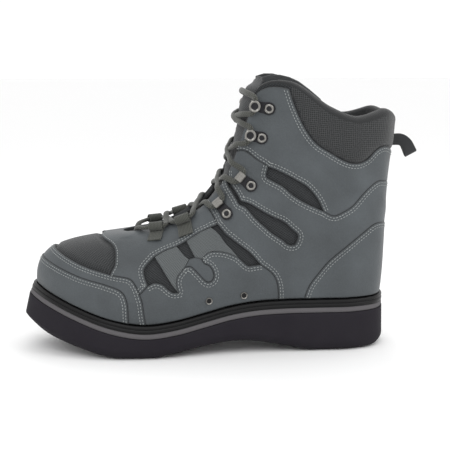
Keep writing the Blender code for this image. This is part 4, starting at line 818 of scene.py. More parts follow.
def make_panel(name, loop, top, mats, node, slant=0.0):
    """A leather or webbing panel with a rounded edge, sunk at its border into the bare upper."""
    loop = turned_left(loop)
    border = upper_point(*loop.T)
    rings, depths = [], []
    for depth in PANEL_RINGS:
        ring = moved_left(loop, depth, True)
        keep = is_inside(ring, loop) & (nearest(upper_point(*ring.T), border) > depth * 0.85)
        ring = ring[keep][::1 if depth < 0.001 else 2]
        rings.append(ring)
        depths.append(np.full(len(ring), depth))
    us = np.arange(loop[:, 0].min(), loop[:, 0].max(), PANEL_STEP / PACE[0])
    vs = np.arange(max(loop[:, 1].min(), 0.0), loop[:, 1].max(), PANEL_STEP / PACE[1])
    grid = np.stack(np.meshgrid(us, vs), axis=-1).reshape(-1, 2)
    grid = grid[is_inside(grid, loop)]
    away = nearest(upper_point(*grid.T), border)
    deep = away > PANEL_RINGS[-1] + PANEL_CLEAR
    grid, away = grid[deep], away[deep]
    places = np.vstack([loop, *rings, grid])
    depth = np.concatenate([np.zeros(len(loop)), *depths, away])
    made = delaunay_2d_cdt([Vector(p * PACE) for p in places], [], [list(range(len(loop)))], 1, 1e-8)
    found = np.array([tuple(p) for p in made[0]]) / PACE
    first = np.array([olds[0] if olds else 0 for olds in made[3]])
    depth = depth[first]
    index = {old: new for new, olds in enumerate(made[3]) for old in olds}
    edge = [index[i] for i in range(len(loop))]
    share = np.clip(depth / PANEL_ROUND, 0.0, 1.0)
    height = top - PANEL_ROUND * PANEL_DROP * (1.0 - np.sqrt(1.0 - (1.0 - share)**2))
    points = skin(found[:, 0], found[:, 1], height)
    base = skin(found[edge, 0], found[edge, 1], np.full(len(edge), -SKIN_DEPTH - PANEL_SUNK))
    floor = welt_top(points[:, 0]) + 0.0001
    points[:, 2] = np.maximum(points[:, 2], floor)
    base[:, 2] = np.maximum(base[:, 2], welt_top(base[:, 0]) - 0.0004)
    verts = np.vstack([points, base])
    n = len(points)
    around = np.arange(len(edge))
    edge = np.array(edge)
    after = np.roll(around, -1)
    walls = np.column_stack([n + around, n + after, edge[after], edge[around]])
    faces = [tuple(f) for f in made[2]] + walls.tolist()
    rim = np.concatenate([smooth_step((depth - INK_START) / INK_WIDTH), np.zeros(len(edge))])
    turn = math.radians(slant)
    flat = np.vstack([found, found[edge]]) * PACE
    cloth = flat @ np.array([[math.cos(turn), -math.sin(turn)], [math.sin(turn), math.cos(turn)]])
    return new_piece(name, verts, faces, mats, (node,), cloth=cloth, rim=rim)


def panel_loops():
    """Outlines of the panels that go round the toe or the heel, and of those on one side."""
    cap_end, band_end = (SEAMS[name][-1][0] for name in ("cap_edge", "band_quarter"))
    vamp_end = SEAMS["vamp_rear"][-1][0]
    quarter_end, counter_end = (SEAMS[name][-1][0] for name in ("quarter_rear", "counter_edge"))
    whole = {
        "toe_cap": with_mirror(path("cap_edge", level_run(cap_end, 0, FOOT_LEVEL)), 0),
        "toe_band": with_mirror(path("band_edge", "band_vamp", "band_quarter",
                                     level_run(band_end, cap_end, FOOT_LEVEL), "-cap_edge"), 0),
        "vamp": with_mirror(path("vamp_front", "band_vamp", "vamp_quarter", "vamp_window", "vamp_strap_1",
                                 "vamp_window_2", "vamp_strap_2", "vamp_window_4", "vamp_rear",
                                 level_run(vamp_end, 0, RIM_LEVEL)), 0),
        "saddle": with_mirror(path(
            "saddle_back", "window_6_low", "saddle_shaft",
            level_run(SEAMS["saddle_shaft"][-1][0], SEAMS["slit_rear"][0][0], RIM_LEVEL),
            "slit_rear", "window_5", "slit_front", level_run(SEAMS["slit_front"][-1][0], vamp_end, RIM_LEVEL),
            "-vamp_rear", "window_4_top", "quarter_rear", level_run(quarter_end, counter_end, FOOT_LEVEL),
            "-counter_edge"), SPANS),
        "shaft": with_mirror(path(
            "-collar_edge", level_run(SEAMS["collar_edge"][0][0], SEAMS["saddle_shaft"][-1][0], RIM_LEVEL),
            "-saddle_shaft", "-window_6_top", "-saddle_back"), SPANS),
        "heel_counter": with_mirror(path("counter_edge", level_run(counter_end, SPANS, FOOT_LEVEL)), SPANS),
    }
    sides = {
        "quarter": path("vamp_quarter", "window_1_low", "strap_1_quarter", "recess_quarter",
                        "strap_2_quarter", "window_4_low", "quarter_rear",
                        level_run(quarter_end, band_end, FOOT_LEVEL), "-band_quarter")[:-1],
        "strap_1": path("window_strap_1", "strap_1_quarter", "strap_1_recess", "strap_1_rear",
                        "-vamp_strap_1")[:-1],
        "strap_2": path("strap_2_front", "strap_2_recess", "strap_2_quarter", "strap_2_rear",
                        "-vamp_strap_2")[:-1],
        "strap_recess": path("-strap_1_recess", "recess_quarter", "-strap_2_recess", np.array(
            [seam("strap_2_front")[-1], seam("strap_1_rear")[0]]))[:-1],
    }
    return whole, sides


PANEL_THICK = {
    "toe_cap": CAP_LEATHER, "toe_band": BAND_LEATHER, "vamp": VAMP_LEATHER, "saddle": SADDLE_LEATHER,
    "shaft": SHAFT_LEATHER, "heel_counter": COUNTER_LEATHER, "quarter": QUARTER_LEATHER,
    "strap_recess": RECESS_LEATHER, "strap_1": STRAP_WEBBING, "strap_2": STRAP_WEBBING,
}


def make_panels(names):
    whole, sides = panel_loops()
    for name in names:
        top = OVERLAY_BACK + PANEL_THICK[name]
        strap = name in ("strap_1", "strap_2")
        mats = ("webbing",) if strap else ("leather",)
        if name in whole:
            make_panel(name + "_piece", whole[name], top, mats, name)
            continue
        for word, loop in (("outer", sides[name]), ("inner", mirror(sides[name]))):
            make_panel(f"{name}_{word}_piece", loop, top, mats, f"{name}_{word}")


# Windows in the leather, where the mesh of the bare upper shows: outline, height of its bulge
WINDOWS = (
    (("band_edge", "-vamp_front"), 0.0016),
    (("vamp_window", "window_strap_1", "-window_1_low"), 0.0010),
    (("vamp_window_2", "strap_2_front", "strap_1_rear"), 0.0008),
    (("vamp_window_4", "window_4_top", "-window_4_low", "strap_2_rear"), 0.0011),
    (("window_5",), 0.0011),
    (("window_6_low", "-window_6_top"), 0.0011),
)
SHELL_STEPS = 9          # columns per section
SHELL_LEVELS = 84        # rows of the outside
LINING_LEVELS = 40       # and of the lining
COLLAR_PUFF = 0.0042     # how far the collar swells out
COLLAR_ROUND = 0.014     # width over which it swells from its edge
COLLAR_END = 1.06        # level where the swell would end over the rim
COLLAR_FADE = 0.25       # levels over which it fades there
WINDOW_EDGE = 0.006      # width over which the mesh bulges in a window
WINDOW_TOP = 0.995       # no window reaches over this level
TOE_MESH_END = 3.75      # section where the toe's mesh gives way to the side's
RIM_REACH = 0.42         # rim's rise as a share of the wall's thickness
HALF_TURN = np.radians(np.arange(22.5, 180.0, 22.5))   # steps of a half turn without its ends


def window_loops():
    """Window outlines on the outer side, and the collar's, as they lie on the upper."""
    loops = []
    for parts, bulge in WINDOWS:
        loop = path(*parts)
        if parts[0] == "band_edge":
            loop = with_mirror(loop, 0)
        loops.append((loop, bulge))
    collar = path("collar_edge")
    collar = np.vstack([collar, [SPANS, 1.2], [SEAMS["collar_edge"][0][0] - 0.1, 1.2]])
    return loops, collar


def make_shell():
    """The upper's hollow shell: mesh outside, a plump collar, a soft rim and the lining inside."""
    u = np.arange(2 * SPANS * SHELL_STEPS) / SHELL_STEPS
    levels = np.linspace(0.0, 1.0, SHELL_LEVELS)
    uu, vv = np.meshgrid(u, levels)
    places = np.column_stack([uu.ravel(), vv.ravel()])
    folded = np.column_stack([np.minimum(places[:, 0], 2 * SPANS - places[:, 0]), places[:, 1]])
    height = np.full(len(places), -SKIN_DEPTH)
    loops, collar = window_loops()
    points = upper_point(*places.T)
    for loop, bulge in loops:
        inside = is_inside(folded, loop) & (folded[:, 1] < WINDOW_TOP)
        away = nearest(upper_point(*folded[inside].T), upper_point(*loop.T))
        height[inside] += bulge * smooth_step(away / WINDOW_EDGE)
    inside = is_inside(folded, collar)
    edge = upper_point(*seam("collar_edge").T)
    away = nearest(upper_point(*folded[inside].T), edge)
    swell = np.sqrt(np.clip(1.0 - (1.0 - np.clip(away / COLLAR_ROUND, 0.0, 1.0))**2, 0.0, 1.0))
    height[inside] += COLLAR_PUFF * swell * smooth_step((COLLAR_END - folded[inside, 1]) / COLLAR_FADE)
    mesh_kind = np.where(inside, 2, np.where(folded[:, 0] < TOE_MESH_END, 0, 1)).reshape(vv.shape)
    outer = skin(places[:, 0], places[:, 1], height).reshape(SHELL_LEVELS, len(u), 3)
    outer[0, :, 2] = welt_top(outer[0, :, 0]) + SEAT_GAP
    inner = np.array([upper_inside(u, level) for level in np.linspace(1.0, 0.0, LINING_LEVELS)])
    inner[-1, :, 2] = welt_top(inner[-1, :, 0]) + SEAT_GAP
    along = outer[-1] - outer[-4]
    along /= np.linalg.norm(along, axis=1, keepdims=True)
    middle = (outer[-1] + inner[0]) / 2
    reach = np.linalg.norm(outer[-1] - inner[0], axis=1, keepdims=True) * RIM_REACH
    rim = [middle + (outer[-1] - middle) * math.cos(turn) + along * reach * math.sin(turn)
           for turn in HALF_TURN]
    body = np.vstack([outer, np.array(rim), inner])
    rows, columns = body.shape[:2]
    across = run_lengths(points.reshape(SHELL_LEVELS, -1, 3)[SHELL_LEVELS // 2])
    cloth = cloth_grid(across, run_lengths(body))
    faces = grid_faces(rows, columns)
    last = (rows - 1) * columns
    i = np.arange(columns)
    j = (i + 1) % columns
    closing = np.column_stack([last + i, last + j, j, i])
    kinds = np.full((rows, columns), 3)
    kinds[:SHELL_LEVELS - 1] = mesh_kind[:-1]
    return new_piece("upper_shell", body.reshape(-1, 3), np.vstack([faces, closing]),
                     ("toe_mesh", "side_mesh", "collar_mesh", "lining"), ("upper",), cloth=cloth,
                     face_mats=kinds.ravel(), sharp=80.0)


# Rand from the bottom up: share of the sole's lean, inset from there, and height over the welt's
# top. The first two, without a height, lie on the grey band.
LayerEdge = namedtuple("LayerEdge", "lean inset rise")
RAND_EDGES = (
    LayerEdge(0.70, 0.0040, None),
    LayerEdge(0.70, 0.0005, None),
    LayerEdge(0.71, 0.0000, -0.0060),
    LayerEdge(0.76, -0.0001, -0.0045),
    LayerEdge(0.80, 0.0001, -0.0036),
    LayerEdge(0.82, 0.0006, -0.0033),
    LayerEdge(0.84, 0.0006, -0.0029),
    LayerEdge(0.86, 0.0000, -0.0026),
    LayerEdge(0.90, -0.0002, -0.0018),
    LayerEdge(0.94, 0.0000, -0.0009),
    LayerEdge(0.97, 0.0005, -0.0003),
    LayerEdge(1.00, 0.0011, 0.0000),
    LayerEdge(1.00, 0.0022, -0.0001),
    LayerEdge(1.00, 0.0050, -0.0001),
    LayerEdge(1.00, 0.0090, -0.0001),
)
SOLE_COLUMNS = 14        # columns per section
BLOCK_CAPS = 24          # strips that close the block; the thin layers have fewer
THIN_CAPS = 3


def sole_line(lean_share, inset, height):
    u = np.arange(2 * SPANS * SOLE_COLUMNS) / SOLE_COLUMNS
    lean = sole_profile("lean", outline_inset(u, 0.0)[:, 0])
    plan = outline_inset(u, lean * lean_share + inset)
    return np.column_stack([plan, height(plan[:, 0])])


def closed_stack(rings, caps):
    """Side walls between rings, with the lowest and highest closed by cross strips of quads."""
    n = len(rings[0])
    verts = np.vstack(rings)
    faces = [tuple(f) for f in grid_faces(len(rings), n)]
    half = n // 2
    extra = []
    base = len(verts)
    for ring, start, flip in ((rings[0], 0, True), (rings[-1], (len(rings) - 1) * n, False)):
        shares = np.linspace(0.0, 1.0, caps + 2)[1:-1]
        left, right = ring[1:half], ring[:half:-1]
        inner = left[:, None] + (right - left)[:, None] * shares[None, :, None]
        extra.append(inner.reshape(-1, 3))
        ids = base + np.arange(inner.shape[0] * caps).reshape(-1, caps)
        base += ids.size
        rows = np.column_stack([start + np.arange(1, half), ids, start + np.arange(n - 1, half, -1)])
        for a, b in zip(rows, rows[1:]):
            for k in range(caps + 1):
                quad = (a[k], b[k], b[k + 1], a[k + 1])
                faces.append(quad[::-1] if flip else quad)
        for tip, row, turn in ((start, rows[0], False), (start + half, rows[-1], True)):
            for k in range(caps + 1):
                tri = (tip, row[k], row[k + 1])
                faces.append(tri[::-1] if flip != turn else tri)
    return np.vstack([verts, *extra]), faces


def make_sole_layers():
    """Block with its rounded tread edge, grey band, and the rand with its bead and groove."""
    def block_top(x):
        return welt_top(x) - WELT_HEIGHT - STRIPE_HEIGHT

    def low(x):
        return block_top(x) + SEAT_GAP

    def high(x):
        return welt_top(x) - WELT_HEIGHT

    rings = []
    for turn in np.radians(np.linspace(90.0, 0.0, 9)):
        inset = TREAD_EDGE * (1.0 - math.cos(turn))
        rise = TREAD_EDGE * (1.0 - math.sin(turn))
        rings.append(sole_line(0.6 * math.sin(turn), inset, lambda x, rise=rise: tread(x) + rise))
    for share in np.linspace(0.0, 1.0, 10)[1:]:
        rings.append(sole_line(0.45 * share, 0.0, lambda x, share=share: tread(x) + TREAD_EDGE
                               + (block_top(x) - 0.0005 - tread(x) - TREAD_EDGE) * share))
    rings.append(sole_line(0.45, 0.0005, block_top))
    rings.append(sole_line(0.45, 0.004, block_top))
    verts, faces = closed_stack(rings, BLOCK_CAPS)
    new_piece("outsole_block", verts, faces, ("outsole",), ("outsole",), sharp=50.0)
    rings = [sole_line(0.48, STRIPE_RECESS + 0.003, low), sole_line(0.48, STRIPE_RECESS + 0.0004, low)]
    for share in (0.1, 0.35, 0.65, 0.9):
        swell = 0.0004 * (1.0 - (2 * share - 1)**2)
        rings.append(sole_line(0.48 + 0.2 * share, STRIPE_RECESS - swell,
                               lambda x, share=share: low(x) + (high(x) - low(x)) * share))
    rings += [sole_line(0.68, STRIPE_RECESS + 0.0004, high), sole_line(0.68, STRIPE_RECESS + 0.003, high)]
    verts, faces = closed_stack(rings, THIN_CAPS)
    new_piece("midsole_band", verts, faces, ("stripe",), ("midsole_stripe",), sharp=50.0)
    rings = []
    for edge in RAND_EDGES:
        if edge.rise is None:
            rings.append(sole_line(edge.lean, edge.inset, lambda x: high(x) + SEAT_GAP))
        else:
            rings.append(sole_line(edge.lean, edge.inset, lambda x, edge=edge: welt_top(x) + edge.rise))
    verts, faces = closed_stack(rings, THIN_CAPS)
    new_piece("rand_plate", verts, faces, ("welt",), ("welt",), sharp=50.0)


def tongue_half(row, side, more):
    """Half of a tongue row: from its wing under the wall to the throat's edge."""
    share = np.linspace(1.0, 0.0, 7)
    u = row.edge + (row.wing - row.edge) * share
    v = row.edge_level + (row.wing_level - row.edge_level) * share
    if side < 0:
        u = 2 * SPANS - u
    line = upper_inside(u, v, TONGUE_GAP + more)
    line[:, 2] += row.lift * TONGUE_TOP
    return line


def tongue_face(row, more, puff=0.0):
    """One face of a tongue row, from the outer wing to the inner one."""
    outer = tongue_half(row, 1, more)
    inner = tongue_half(row, -1, more)
    left, right = outer[-1], inner[-1]
    forward = (left + right - outer[0] - inner[0]) / 2
    forward[1] = 0.0
    crown = unit(forward) * (row.rise * TONGUE_CROWN + puff)
    bridge = [left + (right - left) * share + crown * math.sin(math.pi * share)
              for share in np.linspace(0.0, 1.0, 17)[1:-1]]
    return np.array([*outer, *bridge, *inner[::-1]])


def make_tongue():
    """Padded tongue, rounded along its edges, its top bound with black tape."""
    rows = between_rows(TONGUE_ROWS, 7)
    fronts, backs = [], []
    for index, row in enumerate(rows):
        skin_off = row.thin * TONGUE_WALL
        ripple = TONGUE_RIPPLE * math.sin(index * 0.9)
        fronts.append(tongue_face(row, skin_off, ripple))
        backs.append(tongue_face(row, TONGUE_WALL - skin_off))
    fronts, backs = np.array(fronts), np.array(backs)
    rings = []
    for front, back in zip(fronts, backs):
        mid_left, mid_right = (front[0] + back[0]) / 2, (front[-1] + back[-1]) / 2
        out_left = unit(front[0] - front[1]) * TONGUE_SIDE
        out_right = unit(front[-1] - front[-2]) * TONGUE_SIDE
        rings.append(np.vstack([front[::-1], [mid_left + out_left], back, [mid_right + out_right]]))
    rings = np.array(rings)
    n = rings.shape[1]
    top = rings[-1]
    lift = np.array([0.0, 0.0, TONGUE_DOME])
    centre_line = (top + np.roll(top[::-1], -1, axis=0)) / 2
    closing = []
    for share in (0.55, 0.85):
        closing.append(centre_line + (top - centre_line) * math.sqrt(1 - share**2) + lift * share)
    closing.append(centre_line + lift)
    rings = np.concatenate([rings, np.array(closing)])
    cloth = cloth_grid(run_lengths(rings[len(rows) // 2]), run_lengths(rings[:, n // 4])[:, None])
    faces = grid_faces(len(rings), n)
    kinds = np.zeros((len(rings) - 1, n), int)
    kinds[len(rows) - TAPE_ROWS:] = 1
    bottom = [tuple(range(n))[::-1]]
    cap = [tuple((len(rings) - 1) * n + k for k in range(n))]
    face_list = [tuple(f) for f in faces] + bottom + cap
    obj = new_piece("tongue_pad", rings.reshape(-1, 3), face_list, ("side_mesh", "tape"),
                    ("tongue",), cloth=cloth, face_mats=np.concatenate([kinds.ravel(), [0, 1]]), sharp=70.0)


# Stitch rows: the seams they follow, the side of the seam's way (1 left, -1 right), the leather
# they lie on, how far from its edge each row runs, and the middle section that it leaves free.
StitchRow = namedtuple("StitchRow", "seams side thick distances middle")
STITCH_RISE = 0.00012    # middle of a bead over the leather
STITCH_END = 0.008       # rows stop this far above the leather's lowest level
STITCH_TOP = 0.006       # and this far below its highest one
STITCH_FREE = 0.02       # share of a section left free at the boot's middle
NEAR_ROW = 0.0018
FAR_ROW = 0.0040
DOUBLE = (NEAR_ROW, FAR_ROW)
STITCH_ROWS = (
    StitchRow(("cap_edge",), -1, CAP_LEATHER, DOUBLE, 0),
    StitchRow(("band_edge", "band_vamp", "band_quarter"), -1, BAND_LEATHER, DOUBLE, 0),
    StitchRow(("vamp_front",), 1, VAMP_LEATHER, (NEAR_ROW,), 0),
    StitchRow(("vamp_quarter", "vamp_window", "vamp_strap_1", "vamp_window_2", "vamp_strap_2",
               "vamp_window_4"), 1, VAMP_LEATHER, DOUBLE, None),
    StitchRow(("window_1_low", "strap_1_quarter"), -1, QUARTER_LEATHER, DOUBLE, None),
    StitchRow(("recess_quarter",), -1, QUARTER_LEATHER, DOUBLE, None),
    StitchRow(("strap_2_quarter", "window_4_low"), -1, QUARTER_LEATHER, DOUBLE, None),
    StitchRow(("window_4_top", "quarter_rear"), 1, SADDLE_LEATHER, DOUBLE, None),
    StitchRow(("vamp_rear",), -1, SADDLE_LEATHER, DOUBLE, None),
    StitchRow(("slit_rear", "window_5", "slit_front"), 1, SADDLE_LEATHER, DOUBLE, None),
    StitchRow(("window_6_low",), 1, SADDLE_LEATHER, DOUBLE, None),
    StitchRow(("window_6_top",), -1, SHAFT_LEATHER, DOUBLE, None),
    StitchRow(("saddle_shaft",), -1, SHAFT_LEATHER, DOUBLE, None),
    StitchRow(("saddle_back",), 1, SADDLE_LEATHER, DOUBLE, SPANS),
    StitchRow(("counter_edge",), 1, COUNTER_LEATHER, DOUBLE, SPANS),
    StitchRow(("collar_edge",), -1, SHAFT_LEATHER, DOUBLE, SPANS),
)


def stitch_lines():
    """Open lines of stitches with the way out of the leather, on both sides of the boot."""
    lines = []
    for row in STITCH_ROWS:
        places = path(*row.seams)
        for distance in row.distances:
            for flip in (False, True):
                run = mirror(places) if flip else places
                side = -row.side if flip else row.side
                moved = moved_left(run, side * distance, False)
                moved = moved[(moved[:, 1] > FOOT_LEVEL + STITCH_END)
                              & (moved[:, 1] < RIM_LEVEL - STITCH_TOP)]
                if row.middle is not None:
                    middle = 2 * SPANS if flip and row.middle == 0 else row.middle
                    moved = moved[np.abs(moved[:, 0] - middle) > STITCH_FREE]
                height = OVERLAY_BACK + row.thick + STITCH_RISE
                lines.append((skin(moved[:, 0], moved[:, 1], np.full(len(moved), height)),
                              upper_normal(moved[:, 0], moved[:, 1])))
    return lines


def stitch_tree(mat):
    """Nodes that set one bead on every step of each line, laid along it and out of the leather."""
    tree = bpy.data.node_groups.new("stitch rows", "GeometryNodeTree")
    sockets = tree.interface
    sockets.new_socket("Geometry", in_out="INPUT", socket_type="NodeSocketGeometry")
    for name in ("Pitch", "Length", "Thickness"):
        sockets.new_socket(name, in_out="INPUT", socket_type="NodeSocketFloat")
    sockets.new_socket("Geometry", in_out="OUTPUT", socket_type="NodeSocketGeometry")
    given = add_node(tree, "NodeGroupInput", {}, {})
    line = add_node(tree, "GeometryNodeMeshToCurve", {}, {"Mesh": (given, "Geometry")})
    steps = add_node(tree, "GeometryNodeResampleCurve", {"mode": "LENGTH"},
                     {"Curve": (line, 0), "Length": (given, "Pitch")})
    bead = add_node(tree, "GeometryNodeMeshUVSphere", {}, {"Segments": 6, "Rings": 4, "Radius": 1.0})
    long, thick = (add_node(tree, "ShaderNodeMath", {"operation": "MULTIPLY"}, {0: (given, name), 1: 0.5})
                   for name in ("Length", "Thickness"))
    size = add_node(tree, "ShaderNodeCombineXYZ", {}, {0: (long, 0), 1: (thick, 0), 2: (thick, 0)})
    shaped = add_node(tree, "GeometryNodeTransform", {}, {"Geometry": (bead, 0), "Scale": (size, 0)})
    way = add_node(tree, "GeometryNodeInputTangent", {}, {})
    out = add_node(tree, "GeometryNodeInputNamedAttribute", {"data_type": "FLOAT_VECTOR"}, {"Name": "out"})
    laid = add_node(tree, "FunctionNodeAlignRotationToVector", {"axis": "X"}, {"Vector": (way, 0)})
    stood = add_node(tree, "FunctionNodeAlignRotationToVector", {"axis": "Z", "pivot_axis": "X"},
                     {"Rotation": (laid, 0), "Vector": (out, 0)})
    copies = add_node(tree, "GeometryNodeInstanceOnPoints", {},
                      {"Points": (steps, 0), "Instance": (shaped, 0), "Rotation": (stood, 0)})
    real = add_node(tree, "GeometryNodeRealizeInstances", {}, {"Geometry": (copies, 0)})
    painted = add_node(tree, "GeometryNodeSetMaterial", {}, {"Geometry": (real, 0), "Material": mat})
    add_node(tree, "NodeGroupOutput", {}, {"Geometry": (painted, 0)})
    return tree


def make_stitches(sizes):
    """All stitch rows of the leather as one mesh, from lines that the nodes set with beads."""
    verts, edges, outs = [], [], []
    for points, ways in stitch_lines():
        first = len(verts)
        verts += points.tolist()
        outs += ways.tolist()
        edges += [(first + i, first + i + 1) for i in range(len(points) - 1)]
    mesh = bpy.data.meshes.new("stitch_lines")
    mesh.from_pydata(verts, edges, [])
    outward = mesh.attributes.new("out", "FLOAT_VECTOR", "POINT")
    outward.data.foreach_set("vector", np.array(outs, np.float32).ravel())
    carrier = bpy.data.objects.new("stitch_lines", mesh)
    bpy.context.scene.collection.objects.link(carrier)
    tree = stitch_tree(MATERIALS["thread"])
    modifier = carrier.modifiers.new("stitches", "NODES")
    modifier.node_group = tree
    values = {"Pitch": sizes.stitch_pitch, "Length": sizes.stitch_length,
              "Thickness": sizes.stitch_thickness}
    for item in tree.interface.items_tree:
        if item.in_out == "INPUT" and item.name in values:
            modifier[item.identifier] = values[item.name]
    ready = carrier.evaluated_get(bpy.context.evaluated_depsgraph_get())
    made = bpy.data.meshes.new_from_object(ready)
    made.name = "stitches"
    made.shade_smooth()
    bpy.data.objects.remove(carrier, do_unlink=True)
    obj = bpy.data.objects.new("stitches", made)
    bpy.context.scene.collection.objects.link(obj)
    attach(obj, "root")


def keeper_frame(keeper, side):
    """Origin on the leather, directions along the plate, across it and out, and its length."""
    us = np.array([keeper.u, keeper.aim_u])
    us = us if side > 0 else 2 * SPANS - us
    root, aim = upper_point(us, np.array([keeper.v, keeper.aim_v]))
    middle_v = (keeper.v + keeper.aim_v) / 2
    out = upper_normal(us.mean(), middle_v)
    toward = aim - root
    length = np.linalg.norm(toward)
    toward = toward - out * toward.dot(out)
    toward /= np.linalg.norm(toward)
    middle = upper_point(us.mean(), middle_v)
    origin = middle - toward * length / 2 + out * (OVERLAY_BACK + keeper.height + SEAT_GAP)
    return origin, toward, np.cross(out, toward), out, length


# Where each corner of a strip's section lies across it, as a share of its half width
STRIP_ACROSS = np.array([1, 1, 0.9, 0, -0.9, -1, -1, -0.9, 0, 0.9])


def strip_rings(places, widths, ways, sheet, soft):
    """Rounded oblong sections round a line: half width along widths, half thickness along ways."""
    corner = sheet / 2 * soft
    rings = []
    for place, width, way in zip(places, widths, ways):
        half = np.linalg.norm(width)
        across = width / half
        section = ((half, -sheet / 2 + corner), (half, sheet / 2 - corner), (half - corner, sheet / 2),
                   (0.0, sheet / 2), (corner - half, sheet / 2), (-half, sheet / 2 - corner),
                   (-half, -sheet / 2 + corner), (corner - half, -sheet / 2), (0.0, -sheet / 2),
                   (half - corner, -sheet / 2))
        rings.append([place + across * a + way * b for a, b in section])
    return np.array(rings)


def make_strip(name, places, widths, ways, sheet, mats, slot, nodes, soft=0.6, face_mats=None):
    """A strip of sheet or webbing along a line, closed at both ends."""
    rings = strip_rings(places, widths, ways, sheet, soft)
    rows, n = rings.shape[:2]
    cloth = cloth_grid(STRIP_ACROSS * np.linalg.norm(widths[0]), run_lengths(rings[:, 3])[:, None])
    faces = [tuple(f) for f in grid_faces(rows, n)]
    faces += [tuple(range(n))[::-1], tuple((rows - 1) * n + k for k in range(n))]
    kinds = None
    if face_mats is not None:
        kinds = np.concatenate([np.repeat(face_mats, n), [face_mats[0], face_mats[-1]]])
    return new_piece(name, rings.reshape(-1, 3), faces, mats, nodes, cloth=cloth, face_mats=kinds,
                     sharp=35.0)


def curl_line(keeper, side, bore, sheet, roots, steps):
    """Line of a keeper's sheet: flat over the leather, then round the lace."""
    origin, toward, across, out, length = keeper_frame(keeper, side)
    radius = bore + sheet / 2
    places, widths, ways = [], [], []
    for along, half in roots:
        places.append(origin + toward * along + out * sheet / 2)
        widths.append(across * half)
        ways.append(out)
    for step in range(steps + 1):
        turn = math.radians(keeper.curl) * step / steps
        places.append(origin + toward * (length + radius * math.sin(turn))
                      + out * (sheet / 2 + radius * (1 - math.cos(turn))))
        tip = min(1.0, 1.0 - CURL_TAPER + CURL_TAPER * (steps - step) / TAPER_STEPS)
        widths.append(across * keeper.half * tip)
        ways.append(out * math.cos(turn) - toward * math.sin(turn))
    return places, widths, ways


# Plate round the rivet: place along it and half width, from its rounded rear forward
PLATE_ROOT = ((-0.0053, 0.0010), (-0.0049, 0.0022), (-0.0042, 0.0034), (-0.0030, 0.0044),
              (-0.0014, 0.0051), (0.0004, 0.0053), (0.0022, 0.0051), (0.0040, 0.0046))
# Rivet from its foot to its middle: radius and height
RIVET_PROFILE = ((0.0042, 0.0), (0.0042, 0.0005), (0.0040, 0.0010), (0.0035, 0.0014), (0.0029, 0.0015),
                 (0.0024, 0.0013), (0.0021, 0.0008), (0.0018, 0.0006), (0.0010, 0.0007), (0.0003, 0.0008))
# Cup of a speed hook: its rolled rim round a dark dish, which is painted shade for the hook's shaded hollow
CUP_PROFILE = ((0.0036, -0.0016), (0.0045, -0.0008), (0.0049, 0.0001), (0.0048, 0.0008), (0.0043, 0.0011),
               (0.0037, 0.0009), (0.0031, 0.0002), (0.0024, -0.0002), (0.0012, -0.0003), (0.0003, -0.0003))
# Drain eyelet: its rolled rim round a dark hole, which is a black disc of painted shade where the hole would
# be
EYELET_PROFILE = ((0.0031, -0.0004), (0.0031, 0.0002), (0.0030, 0.0005), (0.0028, 0.0007), (0.0025, 0.0006),
                  (0.0023, 0.0003), (0.0021, 0.0001), (0.0010, 0.0001), (0.0002, 0.0001))
TURNED_SIDES = 28        # facets round a turned head
DARK_RING = 6            # the dark middle of a profile starts at this ring; on hook cups and drain eyelets that middle is painted shade
HOOK_CURL = 250.0        # keepers that curl less than this are hooks


def make_turned(name, centre, out, profile, mats, nodes):
    """A turned head, its middle in the second material."""
    side = unit(np.cross(out, (0.0, 0.0, 1.0)))
    other = np.cross(out, side)
    sides = TURNED_SIDES
    turns = np.arange(sides) * 2 * math.pi / sides
    ring = np.cos(turns)[:, None] * side + np.sin(turns)[:, None] * other
    verts = np.vstack([centre + out * high + ring * radius for radius, high in profile])
    faces = [tuple(f) for f in grid_faces(len(profile), sides)]
    faces.append(tuple((len(profile) - 1) * sides + k for k in range(sides)))
    kinds = [1 if index // sides >= DARK_RING else 0 for index in range(len(faces))]
    return new_piece(name, verts, faces, mats, nodes, face_mats=kinds, sharp=50.0)


def make_hardware():
    """Rings and hooks with their plates and rivets, and the drain eyelets."""
    plated = ("nickel", "gunmetal")
    for side, word in ((1, "outer"), (-1, "inner")):
        for keeper in METAL_KEEPERS:
            name = f"{keeper.name}_{word}"
            origin, toward, _, out, length = keeper_frame(keeper, side)
            roots = [root for root in PLATE_ROOT if root[0] < length - CURL_CLEAR]
            line = curl_line(keeper, side, RING_BORE, METAL_SHEET, roots, RING_STEPS)
            kinds = [1] * len(roots) + [0] * RING_STEPS
            make_strip(name + "_plate", *line, METAL_SHEET, plated, "metal", (name,), face_mats=kinds)
            if keeper.curl < HOOK_CURL:
                lean = out * CUP_FACES_OUT - toward * CUP_FACES_BACK
                top = (origin + toward * (length - CUP_BACK)
                       + out * (2 * RING_BORE + CUP_RISE * METAL_SHEET))
                # The cup's middle in dark gunmetal is painted shade for the hollow inside the hook
                make_turned(name + "_cup", top, lean, CUP_PROFILE, plated, (name,))
            rivet = keeper.name.replace("lace", "rivet") + "_" + word
            make_turned(rivet + "_head", origin + out * METAL_SHEET, out, RIVET_PROFILE, plated, (rivet,))
        for number, (u, v) in enumerate(DRAIN_EYELETS, 1):
            u = u if side > 0 else 2 * SPANS - u
            out = upper_normal(u, v)
            centre = skin(u, v, OVERLAY_BACK + QUARTER_LEATHER + SEAT_GAP)
            node = f"drain_eyelet_{number}_{word}"
            # The eyelet's middle in black rubber is painted shade for the hole
            make_turned(node + "_ring", centre, out, EYELET_PROFILE, ("nickel", "welt"), (node,))


